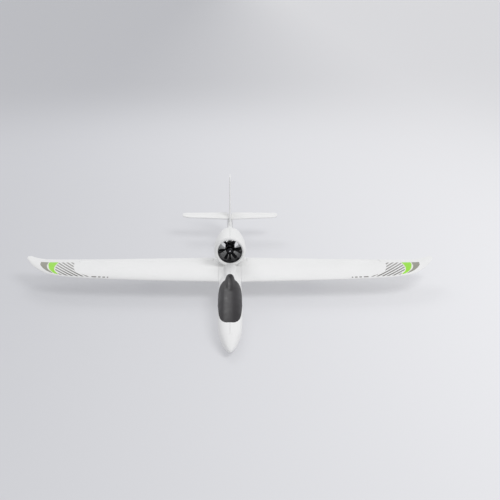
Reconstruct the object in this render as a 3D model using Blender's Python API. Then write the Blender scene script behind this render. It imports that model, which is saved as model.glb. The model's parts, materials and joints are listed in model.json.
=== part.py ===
"""Radio-controlled glider driven by a ducted fan on top of the wing.

Frame: metres, +Z up, nose towards -Y, +X is the aircraft's left wing.
The origin is under the middle of the airframe, on the ground that the skid rests on.
All dimensions below are in millimetres and are scaled once, when a mesh is made.
"""
import math

import bmesh
import bpy
from mathutils import Matrix, Vector

MM = 0.001
GAP = 0.3              # clearance between pieces that touch
JOINT_GAP = 0.8        # air gap ahead of a control surface
SMOOTH_ANGLE = 35.0    # degrees, edges sharper than this stay crisp

# ---------------------------------------------------------------- overall sizes
HALF_SPAN = 580.0
NOSE_Y = -432.0
FIN_TOP = 201.0
NOSE_SEAM_Y = -385.0
BOOM_END_Y = 381.0

# Fuselage outline: y, half width, lowest z, highest z
BODY = [
    (-432, 0.0, 18.0, 18.0), (-408, 14.8, 7.6, 32.2), (-385, 21.7, 3.8, 39.2),
    (-346, 29.0, 2.6, 49.0), (-300, 31.0, 2.3, 58.0), (-230, 31.7, 2.3, 67.5),
    (-170, 31.7, 2.3, 72.0), (-120, 31.0, 2.3, 70.5), (-40, 29.5, 2.3, 69.0),
    (20, 26.5, 4.5, 67.5), (66, 22.5, 11.0, 66.0), (120, 17.0, 23.0, 65.0),
    (180, 12.5, 36.0, 65.5), (226, 10.0, 43.5, 67.0), (276, 7.4, 51.0, 69.3),
    (320, 6.2, 54.0, 70.0), (382, 5.6, 56.0, 70.0),
]
BODY_STATIONS = [-365, -346, -322, -290, -250, -210, -170, -125, -80, -40, 5, 45, 85, 125,
                 165, 205, 245, 285, 330]
BODY_POWER = 2.4

# Hollow inside the fuselage: y, half width, lowest z, highest z
CAVITY = [
    (-376, 13.0, 13.0, 29.0), (-346, 24.0, 8.5, 44.3), (-300, 26.3, 8.0, 53.5),
    (-230, 26.7, 8.0, 62.5), (-185, 26.7, 8.0, 64.0), (-150, 26.0, 8.0, 58.0),
    (-125, 26.0, 8.0, 52.0), (-64, 25.5, 8.0, 49.5), (20, 22.5, 9.5, 57.0),
    (66, 18.5, 17.0, 58.5), (120, 13.5, 28.0, 60.5), (180, 9.6, 39.5, 62.0),
    (238, 6.6, 48.5, 64.0),
]
CAVITY_STATIONS = [-376, -346, -300, -250, -200, -165, -125, -64, -10, 40, 100, 160, 238]
CAVITY_POWER = 3.0

# Raised spine over the wing centre: y, half width, highest z
SPINE = [
    (-235, 9.0, 61.0), (-200, 12.0, 72.6), (-165, 14.0, 77.6), (-118, 14.6, 80.1),
    (-90, 16.0, 80.3), (-50, 18.5, 79.0), (20, 19.0, 77.0), (66, 17.0, 71.5),
    (100, 13.0, 68.0), (140, 9.0, 64.0),
]
SPINE_BASE_Z = 52.0

# Parting line between hatch and fuselage, seen from the side: y, z
PARTING = [(-343.5, 41.0), (-337, 39.3), (-322, 38.6), (-230, 38.6), (-200, 42.0),
           (-165, 57.0), (-124, 80.6)]
PARTING_FRONT_TOP = (-346.6, 56.0)
# Plan of the hatch's rounded front: half width, y
HATCH_FRONT = [(0, -346.6), (6, -346.0), (13, -342.8), (19, -335.5), (24, -322.0), (27.4, -302.0),
               (29.6, -272.0), (31.2, -240.0), (36.0, -228.0)]
MAGNET_Y = -150.0
MAGNET_R, MAGNET_FACE, MAGNET_BACK = 4.0, 0.4, 3.1     # face and back counted from the parting
MAGNET_POCKET_R, MAGNET_POCKET_DEPTH = 4.3, 3.4
TONGUE_HALF_WIDTH = 8.0
TONGUE_OUTLINE = [(-353, 35.5), (-336, 37.5), (-336, 45.0), (-340.5, 43.6), (-340.5, 40.4),
                  (-353, 38.4)]                        # y, z
SADDLE_HALF_WIDTH, SADDLE_START_Y, SADDLE_LOW_Z = 5.4, 316.0, 60.0
ROD_GROOVE_HALF, ROD_GROOVE_START, ROD_GROOVE_END = 1.9, 212.0, 346.0
ROD_GROOVE_INNER_X, ROD_GROOVE_OUTER_X = 4.2, 16.0
SKID_HALF_WIDTH = 11.0
SKID_OUTLINE = [(-300, 2.0), (-306, 1.2), (-300, 0.0), (14, 0.0), (20, 1.2), (14, 2.0)]

# ---------------------------------------------------------------- wing
WING_ROOT_X = 31.3
STUB_X = 31.0
LEADING = [(0, -120), (200, -114.5), (410, -104), (497, -84), (548, -41), (568, -13), (580, 8)]
TRAILING = [(0, 66), (200, 49), (410, 33), (522, 26), (550, 24), (572, 27), (580, 21)]
LEADING_Z = [(0, 54), (410, 59), (497, 60.5), (548, 64), (574, 68), (580, 69.4)]
TRAILING_Z = [(0, 48), (410, 55), (522, 58), (550, 62.5), (574, 68), (580, 69.4)]
THICKNESS = [(0, 0.115), (410, 0.105), (520, 0.085), (580, 0.07)]
CAMBER = 0.03
TRAILING_EDGE_HALF = 0.7
WING_STATIONS = [WING_ROOT_X, 120, 210, 310, 410, 455, 497, 528, 552, 568, 576, HALF_SPAN]

HINGE_CHORD = 0.73
AILERON_IN_X, AILERON_OUT_X = 49.0, 428.0
AILERON_STATIONS = [AILERON_IN_X, 140, 235, 330, AILERON_OUT_X]

SPAR_Y, SPAR_Z, SPAR_R, SPAR_HALF = -64.0, 57.0, 4.0, 250.0
PIN_Y, PIN_Z, PIN_R, PIN_HALF = 0.0, 55.2, 2.0, 60.0

AILERON_LINK_X = 200.0
AILERON_SERVO_Y = -48.0
AILERON_SERVO_Z = 54.0
AILERON_HORN_R = 10.0

# ---------------------------------------------------------------- tail
STAB_HALF = 156.0
STAB_Z = 78.0
STAB_LE_Y, STAB_TIP_LE_Y = 318.0, 335.0
ELEVATOR_HINGE_Y = 358.6
ELEVATOR_TE_Y, ELEVATOR_TIP_TE_Y = 384.0, 380.0
ELEVATOR_INNER_X = 8.0
STAB_HALF_THICK, STAB_TIP_HALF_THICK = 3.3, 2.4
SADDLE_TOP_Z = STAB_Z - STAB_HALF_THICK - GAP
FIN_FOOT_Z = 70.7
FIN_SLOT_Z = STAB_Z + STAB_HALF_THICK + GAP
FIN_LEADING = [(70.7, 277.0), (82, 302.0), (110, 330.0), (150, 350.0), (185, 367.0), (201, 379.0)]
FIN_HALF_THICK = 3.6
RUDDER_HINGE_Y = 386.0
RUDDER_LOW_Z = 50.0
RUDDER_TRAILING = [(50, 424.0), (70, 431.0), (95, 432.0), (150, 430.5), (190, 426.5), (201, 420.0)]
RUDDER_RADIUS = [(50, 3.2), (120, 3.0), (201, 2.2)]

# ---------------------------------------------------------------- fan pod
FAN_ORIGIN = Vector((0.0, -51.0, 112.0))
FAN_TILT = 4.0                       # degrees, intake looks slightly upwards
POD_LENGTH = 131.0
POD_OUTER = [(0, 37.6), (1.6, 40.2), (6, 42.5), (16, 43.6), (40, 43.6), (75, 41.6), (108, 37.6),
             (131, 33.6)]
POD_INNER = [(131, 32.2), (100, 33.6), (64, 35.9), (6.2, 35.9), (6.0, 33.5), (2.4, 34.6)]
HOUSING_OUTER_R, HOUSING_INNER_R = 35.5, 32.25
HOUSING_START, HOUSING_END = 6.5, 60.0
ROTOR_START, ROTOR_END = 18.0, 34.0
HUB_R = 11.3
BLADE_TIP_R = 31.2
BLADE_COUNT = 6
BLADE_CHORD = 11.0
BLADE_PITCH_ROOT, BLADE_PITCH_TIP = 56.0, 36.0
SHAFT_R = 1.5
MOTOR_R, MOTOR_START, MOTOR_END = 11.3, 35.0, 63.0
MOUNT_TUBE_INNER, MOUNT_TUBE_OUTER = 11.7, 13.2
VANE_START, VANE_END = 41.0, 57.0
VANES = [(90.0, 1.6), (210.0, 1.6), (330.0, 1.6), (270.0, 5.0)]   # angle, thickness
TUBE_OUTLINE = [(64.5, 34.6), (98, 32.6), (130, 31.6)]
TUBE_WALL = 0.8
CONE_PROFILE = [(0, 12.8), (14, 11.0), (26, 7.0), (34, 2.0)]
SPINNER_TIP, SPINNER_BORE_R, SPINNER_FLOOR = 7.5, 2.2, 4.0

# ---------------------------------------------------------------- equipment
ELEVATOR_ARM_R = 9.0
ELEVATOR_SERVO = Vector((3.0, -178.0, 39.0))      # top of the case, on its shaft axis
ELEVATOR_HORN_X = -9.2
RUDDER_ARM_R = 10.0
RUDDER_SERVO = Vector((-14.0, -146.0, 36.0))
RUDDER_HORN_Z = 62.0
ARM_HEIGHT = 6.6                 # arm's mid plane above the servo case
ARM_HALF_THICK = 0.8
HORN_HALF_THICK = 0.8
ROD_R = 0.6
PIN_HOLE_R = 1.1
TRAY_LOW, TRAY_HIGH = (-19, -334, 13.0), (19, -205, 15.0)
TRAY_SLOT_Y, TRAY_SLOT_LENGTH, TRAY_SLOT_INNER_X = (-262, -302), 16, 16.9
BATTERY_LOW, BATTERY_HIGH = (-16.5, -326, 15.4), (16.5, -222, 41.0)
STRAP_FRONT_Y, STRAP_BACK_Y = -261.5, -246.5
STRAP_HALF_WIDTH, STRAP_LOW_Z, STRAP_HIGH_Z = 17.2, 12.2, 41.8
STRAP_SIDE_GROWTH, STRAP_HEIGHT_GROWTH = 1.035, 1.045    # outside of the band over its inside
CONTROLLER_LOW, CONTROLLER_HIGH = (-13, -112, 9.6), (13, -58, 19.0)
RECEIVER_LOW, RECEIVER_HIGH = (-11, -50, 12.0), (11, -8, 24.0)

# ---------------------------------------------------------------- finishes
# name: colour, roughness, metallic
FINISHES = {
    "foam": ((0.87, 0.87, 0.86), 0.6, 0.0),
    "hatch": ((0.028, 0.026, 0.028), 0.38, 0.0),
    "black_plastic": ((0.02, 0.02, 0.022), 0.35, 0.0),
    "grey_plastic": ((0.30, 0.31, 0.32), 0.5, 0.0),
    "white_plastic": ((0.80, 0.80, 0.79), 0.4, 0.0),
    "carbon": ((0.03, 0.03, 0.033), 0.3, 0.0),
    "steel": ((0.60, 0.60, 0.62), 0.3, 1.0),
    "servo_blue": ((0.03, 0.10, 0.42), 0.35, 0.0),
    "battery_wrap": ((0.05, 0.06, 0.20), 0.3, 0.0),
    "hook_fabric": ((0.03, 0.03, 0.03), 0.9, 0.0),
    "ply": ((0.55, 0.38, 0.20), 0.7, 0.0),
}


# ================================================================ curves and rings
def blend(points, position):
    """Smooth value at a position along (position, value) points, without overshoot."""
    xs = [p[0] for p in points]
    ys = [p[1] for p in points]
    if position <= xs[0]:
        return ys[0]
    if position >= xs[-1]:
        return ys[-1]
    steps = [(ys[i + 1] - ys[i]) / (xs[i + 1] - xs[i]) for i in range(len(xs) - 1)]
    slopes = [steps[0]]
    for before, after in zip(steps, steps[1:]):
        same_way = before * after > 0
        slopes.append(2 * before * after / (before + after) if same_way else 0.0)
    slopes.append(steps[-1])
    i = max(k for k in range(len(xs) - 1) if xs[k] <= position)
    width = xs[i + 1] - xs[i]
    t = (position - xs[i]) / width
    rise = ys[i + 1] - ys[i]
    return (ys[i] + rise * t * t * (3 - 2 * t)
            + width * t * (1 - t) * (slopes[i] * (1 - t) - slopes[i + 1] * t))


def body_value(table, column, y):
    """One column of a fuselage table at y, counted from the nose so that the tip is round."""
    points = [(math.sqrt(row[0] - NOSE_Y), row[column]) for row in table]
    return blend(points, math.sqrt(max(y - NOSE_Y, 0.0)))


def superellipse(y, half_width, low, high, power, count):
    """Closed ring in a plane of constant y."""
    mid, half = (low + high) / 2, (high - low) / 2
    ring = []
    for i in range(count):
        angle = 2 * math.pi * (i + 0.5) / count
        c, s = math.cos(angle), math.sin(angle)
        x = half_width * math.copysign(abs(c) ** (2 / power), c)
        z = mid + half * math.copysign(abs(s) ** (2 / power), s)
        ring.append((x, y, z))
    return ring


def body_ring(table, y, power, count):
    return superellipse(y, body_value(table, 1, y), body_value(table, 2, y),
                        body_value(table, 3, y), power, count)


class Axis:
    """A turning axis: points are placed by distance along it, radius and angle."""

    def __init__(self, origin, direction, side=Vector((1, 0, 0))):
        self.origin = Vector(origin)
        self.direction = Vector(direction).normalized()
        side = Vector(side)
        self.side = (side - self.direction * side.dot(self.direction)).normalized()
        self.up = self.side.cross(self.direction)

    def point(self, along, radius, angle):
        turn = self.side * math.cos(angle) + self.up * math.sin(angle)
        return self.origin + self.direction * along + turn * radius


FAN_AXIS = Axis(FAN_ORIGIN, (0, math.cos(math.radians(FAN_TILT)), -math.sin(math.radians(FAN_TILT))))


# ================================================================ solids
def make_object(bm, name="piece"):
    bmesh.ops.recalc_face_normals(bm, faces=bm.faces)
    mesh = bpy.data.meshes.new(name)
    bm.to_mesh(mesh)
    bm.free()
    obj = bpy.data.objects.new(name, mesh)
    bpy.context.collection.objects.link(obj)
    return obj


def loft(rings, closed=False):
    """Closed solid through rings of equal length; closed joins the last ring to the first."""
    bm = bmesh.new()
    loops = [[bm.verts.new(Vector(p) * MM) for p in ring] for ring in rings]
    pairs = list(zip(loops, loops[1:]))
    if closed:
        pairs.append((loops[-1], loops[0]))
    count = len(loops[0])
    for first, second in pairs:
        for i in range(count):
            j = (i + 1) % count
            bm.faces.new((first[i], first[j], second[j], second[i]))
    if not closed:
        bm.faces.new(list(reversed(loops[0])))
        bm.faces.new(loops[-1])
    return make_object(bm)


def turned(axis, profile, steps):
    """Solid of revolution with flat ends: profile is (distance along, radius)."""
    rings = []
    for along, radius in profile:
        rings.append([axis.point(along, radius, 2 * math.pi * i / steps) for i in range(steps)])
    return loft(rings)


def turned_ring(axis, profile, steps):
    """Hollow solid of revolution: profile is a closed outline clear of the axis."""
    rings = []
    for i in range(steps):
        angle = 2 * math.pi * i / steps
        rings.append([axis.point(along, radius, angle) for along, radius in profile])
    return loft(rings, closed=True)


def turned_half(axis, profile, steps, start, side_shift):
    """Half of a hollow solid of revolution, cut flat and moved off the middle plane."""
    shift = Vector((side_shift, 0, 0))
    rings = []
    for i in range(steps + 1):
        angle = start + math.pi * i / steps
        rings.append([axis.point(along, radius, angle) + shift for along, radius in profile])
    return loft(rings)


def rod(points, radius, sides):
    """Round rod through points, mitred at its bends."""
    points = [Vector(p) for p in points]
    rings = []
    for i, point in enumerate(points):
        ahead = points[min(i + 1, len(points) - 1)]
        behind = points[max(i - 1, 0)]
        along = (ahead - behind).normalized()
        reference = Vector((0, 0, 1)) if abs(along.z) < 0.9 else Vector((1, 0, 0))
        axis = Axis(point, along, reference)
        rings.append([axis.point(0, radius, 2 * math.pi * k / sides) for k in range(sides)])
    return loft(rings)


def block(low, high):
    ring = [(low[0], low[1]), (high[0], low[1]), (high[0], high[1]), (low[0], high[1])]
    return loft([[(x, y, z) for x, y in ring] for z in (low[2], high[2])])


def side_prism(outline, low_x, high_x):
    """Solid from an outline of (y, z) points, between two values of x."""
    return loft([[(x, y, z) for y, z in outline] for x in (low_x, high_x)])


def plan_prism(outline, low_z, high_z):
    """Solid from an outline of (x, y) points, between two values of z."""
    return loft([[(x, y, z) for x, y in outline] for z in (low_z, high_z)])


def combine(target, tool, operation):
    """Apply a Boolean to target and drop the tool."""
    modifier = target.modifiers.new("combine", "BOOLEAN")
    modifier.operation = operation
    modifier.object = tool
    bpy.context.view_layer.update()
    graph = bpy.context.evaluated_depsgraph_get()
    mesh = bpy.data.meshes.new_from_object(target.evaluated_get(graph))
    target.modifiers.remove(modifier)
    old = target.data
    target.data = mesh
    bpy.data.meshes.remove(old)
    bpy.data.objects.remove(tool)
    return target


def cut(target, tool):
    return combine(target, tool, "DIFFERENCE")


def add(target, tool):
    return combine(target, tool, "UNION")


def keep_inside(target, tool):
    return combine(target, tool, "INTERSECT")


def copy_of(obj):
    twin = bpy.data.objects.new(obj.name, obj.data.copy())
    bpy.context.collection.objects.link(twin)
    return twin


def mirrored(obj):
    """A copy on the other side of the middle plane."""
    twin = copy_of(obj)
    twin.data.transform(Matrix.Scale(-1, 4, Vector((1, 0, 0))))
    twin.data.flip_normals()
    return twin


def finish_part(obj, name, finish, pivot=None):
    """Name a sub-part, give it its own material and put its origin on its pivot."""
    obj.name = name
    obj.data.name = name
    colour, roughness, metallic = FINISHES[finish]
    material = bpy.data.materials.new(name)
    material.use_nodes = True
    shader = material.node_tree.nodes["Principled BSDF"]
    shader.inputs["Base Color"].default_value = (*colour, 1.0)
    shader.inputs["Roughness"].default_value = roughness
    shader.inputs["Metallic"].default_value = metallic
    material.diffuse_color = (*colour, 1.0)
    obj.data.materials.clear()
    obj.data.materials.append(material)
    obj.data.shade_smooth()
    obj.data.set_sharp_from_angle(angle=math.radians(SMOOTH_ANGLE))
    if pivot is not None:
        place = Vector(pivot) * MM
        obj.data.transform(Matrix.Translation(-place))
        obj.location = place
    return obj


# ================================================================ fuselage and hatch
def parting_wall(offset):
    """Region above the parting line, moved off it by offset along the line's normal."""
    first, last = PARTING[0][0], PARTING[-1][0]
    samples = 18
    line = [PARTING_FRONT_TOP]
    for i in range(samples + 1):
        y = first + (last - first) * (i / samples) ** 1.4
        line.append((y, blend(PARTING, y)))
    line.append((last + 10, PARTING[-1][1] + 8))
    moved = []
    for i, (y, z) in enumerate(line):
        before = line[max(i - 1, 0)]
        after = line[min(i + 1, len(line) - 1)]
        dy, dz = after[0] - before[0], after[1] - before[1]
        length = math.hypot(dy, dz)
        moved.append((y - dz / length * offset, z + dy / length * offset))
    top = 120.0
    moved.append((moved[-1][0], top))
    moved.append((moved[0][0], top))
    return side_prism(moved, -60, 60)


def hatch_plan(offset):
    """Prism round the hatch seen from above, moved inwards by offset."""
    side = []
    for i, (x, y) in enumerate(HATCH_FRONT):
        before = HATCH_FRONT[max(i - 1, 0)]
        after = HATCH_FRONT[min(i + 1, len(HATCH_FRONT) - 1)]
        dx, dy = (after[0] - before[0], after[1] - before[1]) if i else (1.0, 0.0)
        length = math.hypot(dx, dy)
        side.append((x - dy / length * offset, y + dx / length * offset))
    side.append((60.0, -228.0))
    side.append((60.0, -90.0))
    outline = side + [(-x, y) for x, y in reversed(side[1:])]
    return plan_prism(outline, 20, 120)


def hatch_region(offset):
    """Space that the hatch takes up, shrunk by offset at the parting surface."""
    return keep_inside(parting_wall(offset), hatch_plan(offset))


def airfoil(x, u, side):
    """Point of the wing surface at span x and chord fraction u; side is 1 above, -1 below."""
    span = abs(x)
    lead, trail = blend(LEADING, span), blend(TRAILING, span)
    chord = trail - lead
    thick = blend(THICKNESS, span)
    shape = (0.2969 * math.sqrt(u) - 0.126 * u - 0.3516 * u ** 2 + 0.2843 * u ** 3
             - 0.1036 * u ** 4)
    half = 5 * thick * shape * chord + TRAILING_EDGE_HALF * u
    line = blend(LEADING_Z, span) * (1 - u) + blend(TRAILING_Z, span) * u
    centre = line + 4 * CAMBER * u * (1 - u) * chord
    return Vector((x, lead + u * chord, centre + side * half))


def wing_ring(x):
    """Closed wing section: over the top from the trailing edge, and back below."""
    steps = 10
    upper = [airfoil(x, (i / steps) ** 1.6, 1) for i in range(steps, 0, -1)]
    lower = [airfoil(x, (i / steps) ** 1.6, -1) for i in range(steps + 1)]
    return upper + lower


def spine_ring(y):
    half_width = blend([(row[0], row[1]) for row in SPINE], y)
    top = blend([(row[0], row[2]) for row in SPINE], y)
    steps = 8
    ring = []
    for i in range(steps + 1):
        angle = math.pi * i / steps
        c, s = math.cos(angle), math.sin(angle)
        x = half_width * math.copysign(abs(c) ** 0.85, c)
        ring.append((x, y, SPINE_BASE_Z + (top - SPINE_BASE_Z) * s ** 0.6))
    return ring


def body_shell():
    """Outer fuselage with the wing centre, the spine and the tail saddle, hollowed."""
    stations = [NOSE_SEAM_Y + GAP / 2] + BODY_STATIONS + [BOOM_END_Y]
    shell = loft([body_ring(BODY, y, BODY_POWER, 24) for y in stations])
    root = wing_ring(0)
    shell = add(shell, loft([[(x, p.y, p.z) for p in root] for x in (-STUB_X, STUB_X)]))
    shell = add(shell, loft([spine_ring(row[0]) for row in SPINE]))
    shell = add(shell, block((-SADDLE_HALF_WIDTH, SADDLE_START_Y, SADDLE_LOW_Z),
                             (SADDLE_HALF_WIDTH, BOOM_END_Y, SADDLE_TOP_Z)))
    cavity = loft([body_ring(CAVITY, y, CAVITY_POWER, 16) for y in CAVITY_STATIONS])
    return cut(shell, cavity)


def rod_groove(line_start, line_end, low_x, high_x):
    """Channel in the side of the boom that follows a pushrod."""
    half = ROD_GROOVE_HALF
    start_y, end_y = ROD_GROOVE_START, ROD_GROOVE_END
    slope = (line_end.z - line_start.z) / (line_end.y - line_start.y)
    z_start = line_start.z + slope * (start_y - line_start.y)
    z_end = line_start.z + slope * (end_y - line_start.y)
    outline = [(start_y, z_start - half), (end_y, z_end - half),
               (end_y, z_end + half), (start_y, z_start + half)]
    return side_prism(outline, low_x, high_x)


def magnet_axis():
    """Line through both hatch magnets, square to the sloping parting line."""
    y, reach = MAGNET_Y, MAGNET_R
    low, high = blend(PARTING, y - reach), blend(PARTING, y + reach)
    slope = math.atan2(high - low, 2 * reach)
    return Axis((0, y, blend(PARTING, y)), (0, -math.sin(slope), math.cos(slope)))


def build_fuselage():
    shell = body_shell()
    hatch = keep_inside(copy_of(shell), hatch_region(0.2))
    body = cut(shell, hatch_region(-0.2))

    pod = [(-1.0, 35.0)] + [(s, r + GAP) for s, r in POD_OUTER] + [(POD_LENGTH + 8, 33.0)]
    body = cut(body, turned(FAN_AXIS, pod, 32))
    body = cut(body, rod(((-60, SPAR_Y, SPAR_Z), (60, SPAR_Y, SPAR_Z)), SPAR_R + GAP, 16))
    body = cut(body, rod(((-60, PIN_Y, PIN_Z), (60, PIN_Y, PIN_Z)), PIN_R + GAP, 12))
    body = cut(body, rod_groove(*elevator_rod_line(), -ROD_GROOVE_OUTER_X, -ROD_GROOVE_INNER_X))
    body = cut(body, rod_groove(*rudder_rod_line(), ROD_GROOVE_INNER_X, ROD_GROOVE_OUTER_X))

    magnets = magnet_axis()
    depth, past = MAGNET_POCKET_DEPTH, MAGNET_POCKET_DEPTH + 0.6
    body = cut(body, turned(magnets, [(-depth, MAGNET_POCKET_R), (past, MAGNET_POCKET_R)], 16))
    hatch = cut(hatch, turned(magnets, [(-past, MAGNET_POCKET_R), (depth, MAGNET_POCKET_R)], 16))
    lower = turned(magnets, [(-MAGNET_BACK, MAGNET_R), (-MAGNET_FACE, MAGNET_R)], 16)
    finish_part(lower, "fuselage_magnet", "steel")
    magnet = turned(magnets, [(MAGNET_FACE, MAGNET_R), (MAGNET_BACK, MAGNET_R)], 16)

    left = keep_inside(copy_of(body), block((GAP / 2, -500, -20), (80, 500, 150)))
    right = keep_inside(body, block((-80, -500, -20), (-GAP / 2, 500, 150)))
    finish_part(left, "fuselage_left_half", "foam")
    finish_part(right, "fuselage_right_half", "foam")

    pivot = (0, PARTING_FRONT_TOP[0] + 0.6, body_value(BODY, 3, -346))
    finish_part(hatch, "canopy_hatch", "hatch", pivot)
    finish_part(magnet, "canopy_magnet", "steel", pivot)
    tongue = side_prism(TONGUE_OUTLINE, -TONGUE_HALF_WIDTH, TONGUE_HALF_WIDTH)
    finish_part(tongue, "canopy_tongue", "ply", pivot)


def build_nose_cap():
    tip_steps = 7
    stations = [NOSE_Y + (NOSE_SEAM_Y - GAP / 2 - NOSE_Y) * (i / tip_steps) ** 2
                for i in range(1, tip_steps + 1)]
    rings = [[(0.6 * math.cos(a), NOSE_Y, 18 + 0.6 * math.sin(a))
              for a in [2 * math.pi * (i + 0.5) / 24 for i in range(24)]]]
    rings += [body_ring(BODY, y, BODY_POWER, 24) for y in stations]
    finish_part(loft(rings), "nose_cap", "foam")


def build_skid():
    skid = side_prism(SKID_OUTLINE, -SKID_HALF_WIDTH, SKID_HALF_WIDTH)
    finish_part(skid, "belly_skid", "grey_plastic")


# ================================================================ wings
def aileron_hinge(x):
    """Point of the straight aileron hinge line at span x."""
    ends = []
    for span in (AILERON_IN_X, AILERON_OUT_X):
        ends.append((airfoil(span, HINGE_CHORD, 1) + airfoil(span, HINGE_CHORD, -1)) / 2)
    t = (abs(x) - AILERON_IN_X) / (AILERON_OUT_X - AILERON_IN_X)
    point = ends[0].lerp(ends[1], t)
    return Vector((math.copysign(point.x, x), point.y, point.z))


def aileron_radius(x):
    half = (airfoil(x, HINGE_CHORD, 1).z - airfoil(x, HINGE_CHORD, -1).z) / 2
    return half - 0.25


def aileron_ring(x):
    """Closed section: half-round nose about the hinge, then the wing's own tail."""
    centre, radius = aileron_hinge(x), aileron_radius(x)
    nose_steps = 6
    ring = []
    for i in range(nose_steps + 1):
        angle = math.pi / 2 + math.pi * i / nose_steps
        ring.append((x, centre.y + radius * math.cos(angle), centre.z + radius * math.sin(angle)))
    fractions = (0.82, 0.91, 1.0)
    ring += [tuple(airfoil(x, u, -1)) for u in fractions]
    ring += [tuple(airfoil(x, u, 1)) for u in reversed(fractions)]
    return ring


def build_wing():
    wing = loft([wing_ring(x) for x in WING_STATIONS])
    slot = []
    for x in (AILERON_IN_X - JOINT_GAP, AILERON_OUT_X + JOINT_GAP):
        slot.append((x, aileron_hinge(x).y - aileron_radius(x) - JOINT_GAP))
    slot += [(slot[1][0], 90), (slot[0][0], 90)]
    wing = cut(wing, plan_prism(slot, 30, 90))
    wing = cut(wing, rod(((0, SPAR_Y, SPAR_Z), (SPAR_HALF + 2, SPAR_Y, SPAR_Z)), SPAR_R + GAP, 16))
    wing = cut(wing, rod(((0, PIN_Y, PIN_Z), (PIN_HALF + 2, PIN_Y, PIN_Z)), PIN_R + GAP, 12))
    low, high = servo_pocket()
    wing = cut(wing, block(low, high))
    finish_part(mirrored(wing), "wing_right", "foam")
    finish_part(wing, "wing_left", "foam")

    aileron = loft([aileron_ring(x) for x in AILERON_STATIONS])
    right_pivot = aileron_hinge(-AILERON_LINK_X)
    finish_part(mirrored(aileron), "right_aileron", "foam", right_pivot)
    finish_part(aileron, "left_aileron", "foam", aileron_hinge(AILERON_LINK_X))

    wall = [(0, SPAR_R - 1), (0, SPAR_R), (2 * SPAR_HALF, SPAR_R), (2 * SPAR_HALF, SPAR_R - 1)]
    spar_axis = Axis((-SPAR_HALF, SPAR_Y, SPAR_Z), (1, 0, 0), Vector((0, 0, 1)))
    finish_part(turned_ring(spar_axis, wall, 16), "wing_spar_tube", "carbon")
    pin = rod(((-PIN_HALF, PIN_Y, PIN_Z), (PIN_HALF, PIN_Y, PIN_Z)), PIN_R, 12)
    finish_part(pin, "wing_rear_pin", "carbon")


# ================================================================ tail
def flat_ring(x, lead_y, hinge_y, half, z):
    """Stabiliser section: round nose, flat rear face."""
    nose = [(x, lead_y + half * (1 - math.sin(a)) * 1.6, z + half * math.cos(a))
            for a in [math.pi * i / 6 for i in range(7)]]
    return nose + [(x, hinge_y, z - half), (x, hinge_y, z + half)]


def build_stabilizer():
    rings = []
    rear = ELEVATOR_HINGE_Y - STAB_HALF_THICK - JOINT_GAP
    for t in (-1.0, -0.96, -0.85, 0.0, 0.85, 0.96, 1.0):
        reach = abs(t)
        lead = STAB_LE_Y + (STAB_TIP_LE_Y - STAB_LE_Y) * reach + 12 * max(0, reach - 0.85) / 0.15
        half = STAB_HALF_THICK + (STAB_TIP_HALF_THICK - STAB_HALF_THICK) * reach
        rings.append(flat_ring(STAB_HALF * t, lead, rear, half, STAB_Z))
    stabilizer = loft(rings)
    groove_low = (-121, 338, STAB_Z - 5)
    groove_high = (121, 341.8, STAB_Z - 0.2)
    stabilizer = cut(stabilizer, block(groove_low, groove_high))
    finish_part(stabilizer, "horizontal_stabilizer", "foam")
    spar = block((-120, 338.4, STAB_Z - 2.4), (120, 341.4, STAB_Z - 0.5))
    finish_part(spar, "stabilizer_spar", "carbon")


def elevator_ring(x):
    reach = x / STAB_HALF
    radius = STAB_HALF_THICK + (STAB_TIP_HALF_THICK - STAB_HALF_THICK) * reach - 0.2
    trail = ELEVATOR_TE_Y + (ELEVATOR_TIP_TE_Y - ELEVATOR_TE_Y) * reach
    trail -= 8 * max(0, reach - 0.93) / 0.07
    ring = []
    for i in range(7):
        angle = math.pi / 2 + math.pi * i / 6
        ring.append((x, ELEVATOR_HINGE_Y + radius * math.cos(angle),
                     STAB_Z + radius * math.sin(angle)))
    return ring + [(x, trail, STAB_Z - 0.6), (x, trail, STAB_Z + 0.6)]


def build_elevator():
    pivot = (0, ELEVATOR_HINGE_Y, STAB_Z)
    half = loft([elevator_ring(x) for x in (ELEVATOR_INNER_X, 70, 145, STAB_HALF)])
    half = cut(half, rod(((0, ELEVATOR_HINGE_Y, STAB_Z), (24, ELEVATOR_HINGE_Y, STAB_Z)), 1.3, 10))
    finish_part(mirrored(half), "elevator_right_half", "foam", pivot)
    finish_part(half, "elevator_left_half", "foam", pivot)
    joiner = rod(((-23, ELEVATOR_HINGE_Y, STAB_Z), (23, ELEVATOR_HINGE_Y, STAB_Z)), 1.0, 10)
    finish_part(joiner, "elevator_joiner", "steel", pivot)


def fin_ring(z):
    lead = blend(FIN_LEADING, z)
    rear = RUDDER_HINGE_Y - blend(RUDDER_RADIUS, z) - JOINT_GAP
    half = FIN_HALF_THICK - 1.2 * (z - FIN_FOOT_Z) / (FIN_TOP - FIN_FOOT_Z)
    depth = rear - lead
    right = [(0.0, 0.0), (0.04, 0.45), (0.16, 0.8), (0.4, 1.0), (1.0, 0.92)]
    ring = [(half * w, lead + u * depth, z) for u, w in right]
    return ring + [(-x, y, z) for x, y, z in reversed(ring[1:])]


def build_fin():
    fin = loft([fin_ring(z) for z in (FIN_FOOT_Z, 76, 90, 110, 130, 150, 170, 188, FIN_TOP)])
    fin = cut(fin, block((-20, 315.5, 50), (20, 420, FIN_SLOT_Z)))
    finish_part(fin, "vertical_fin", "foam")


def rudder_ring(z):
    radius = blend(RUDDER_RADIUS, z)
    trail = blend(RUDDER_TRAILING, z)
    ring = []
    for i in range(7):
        angle = math.pi + math.pi * i / 6
        ring.append((radius * math.cos(angle), RUDDER_HINGE_Y + radius * math.sin(angle), z))
    return ring + [(0.6, trail, z), (-0.6, trail, z)]


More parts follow.
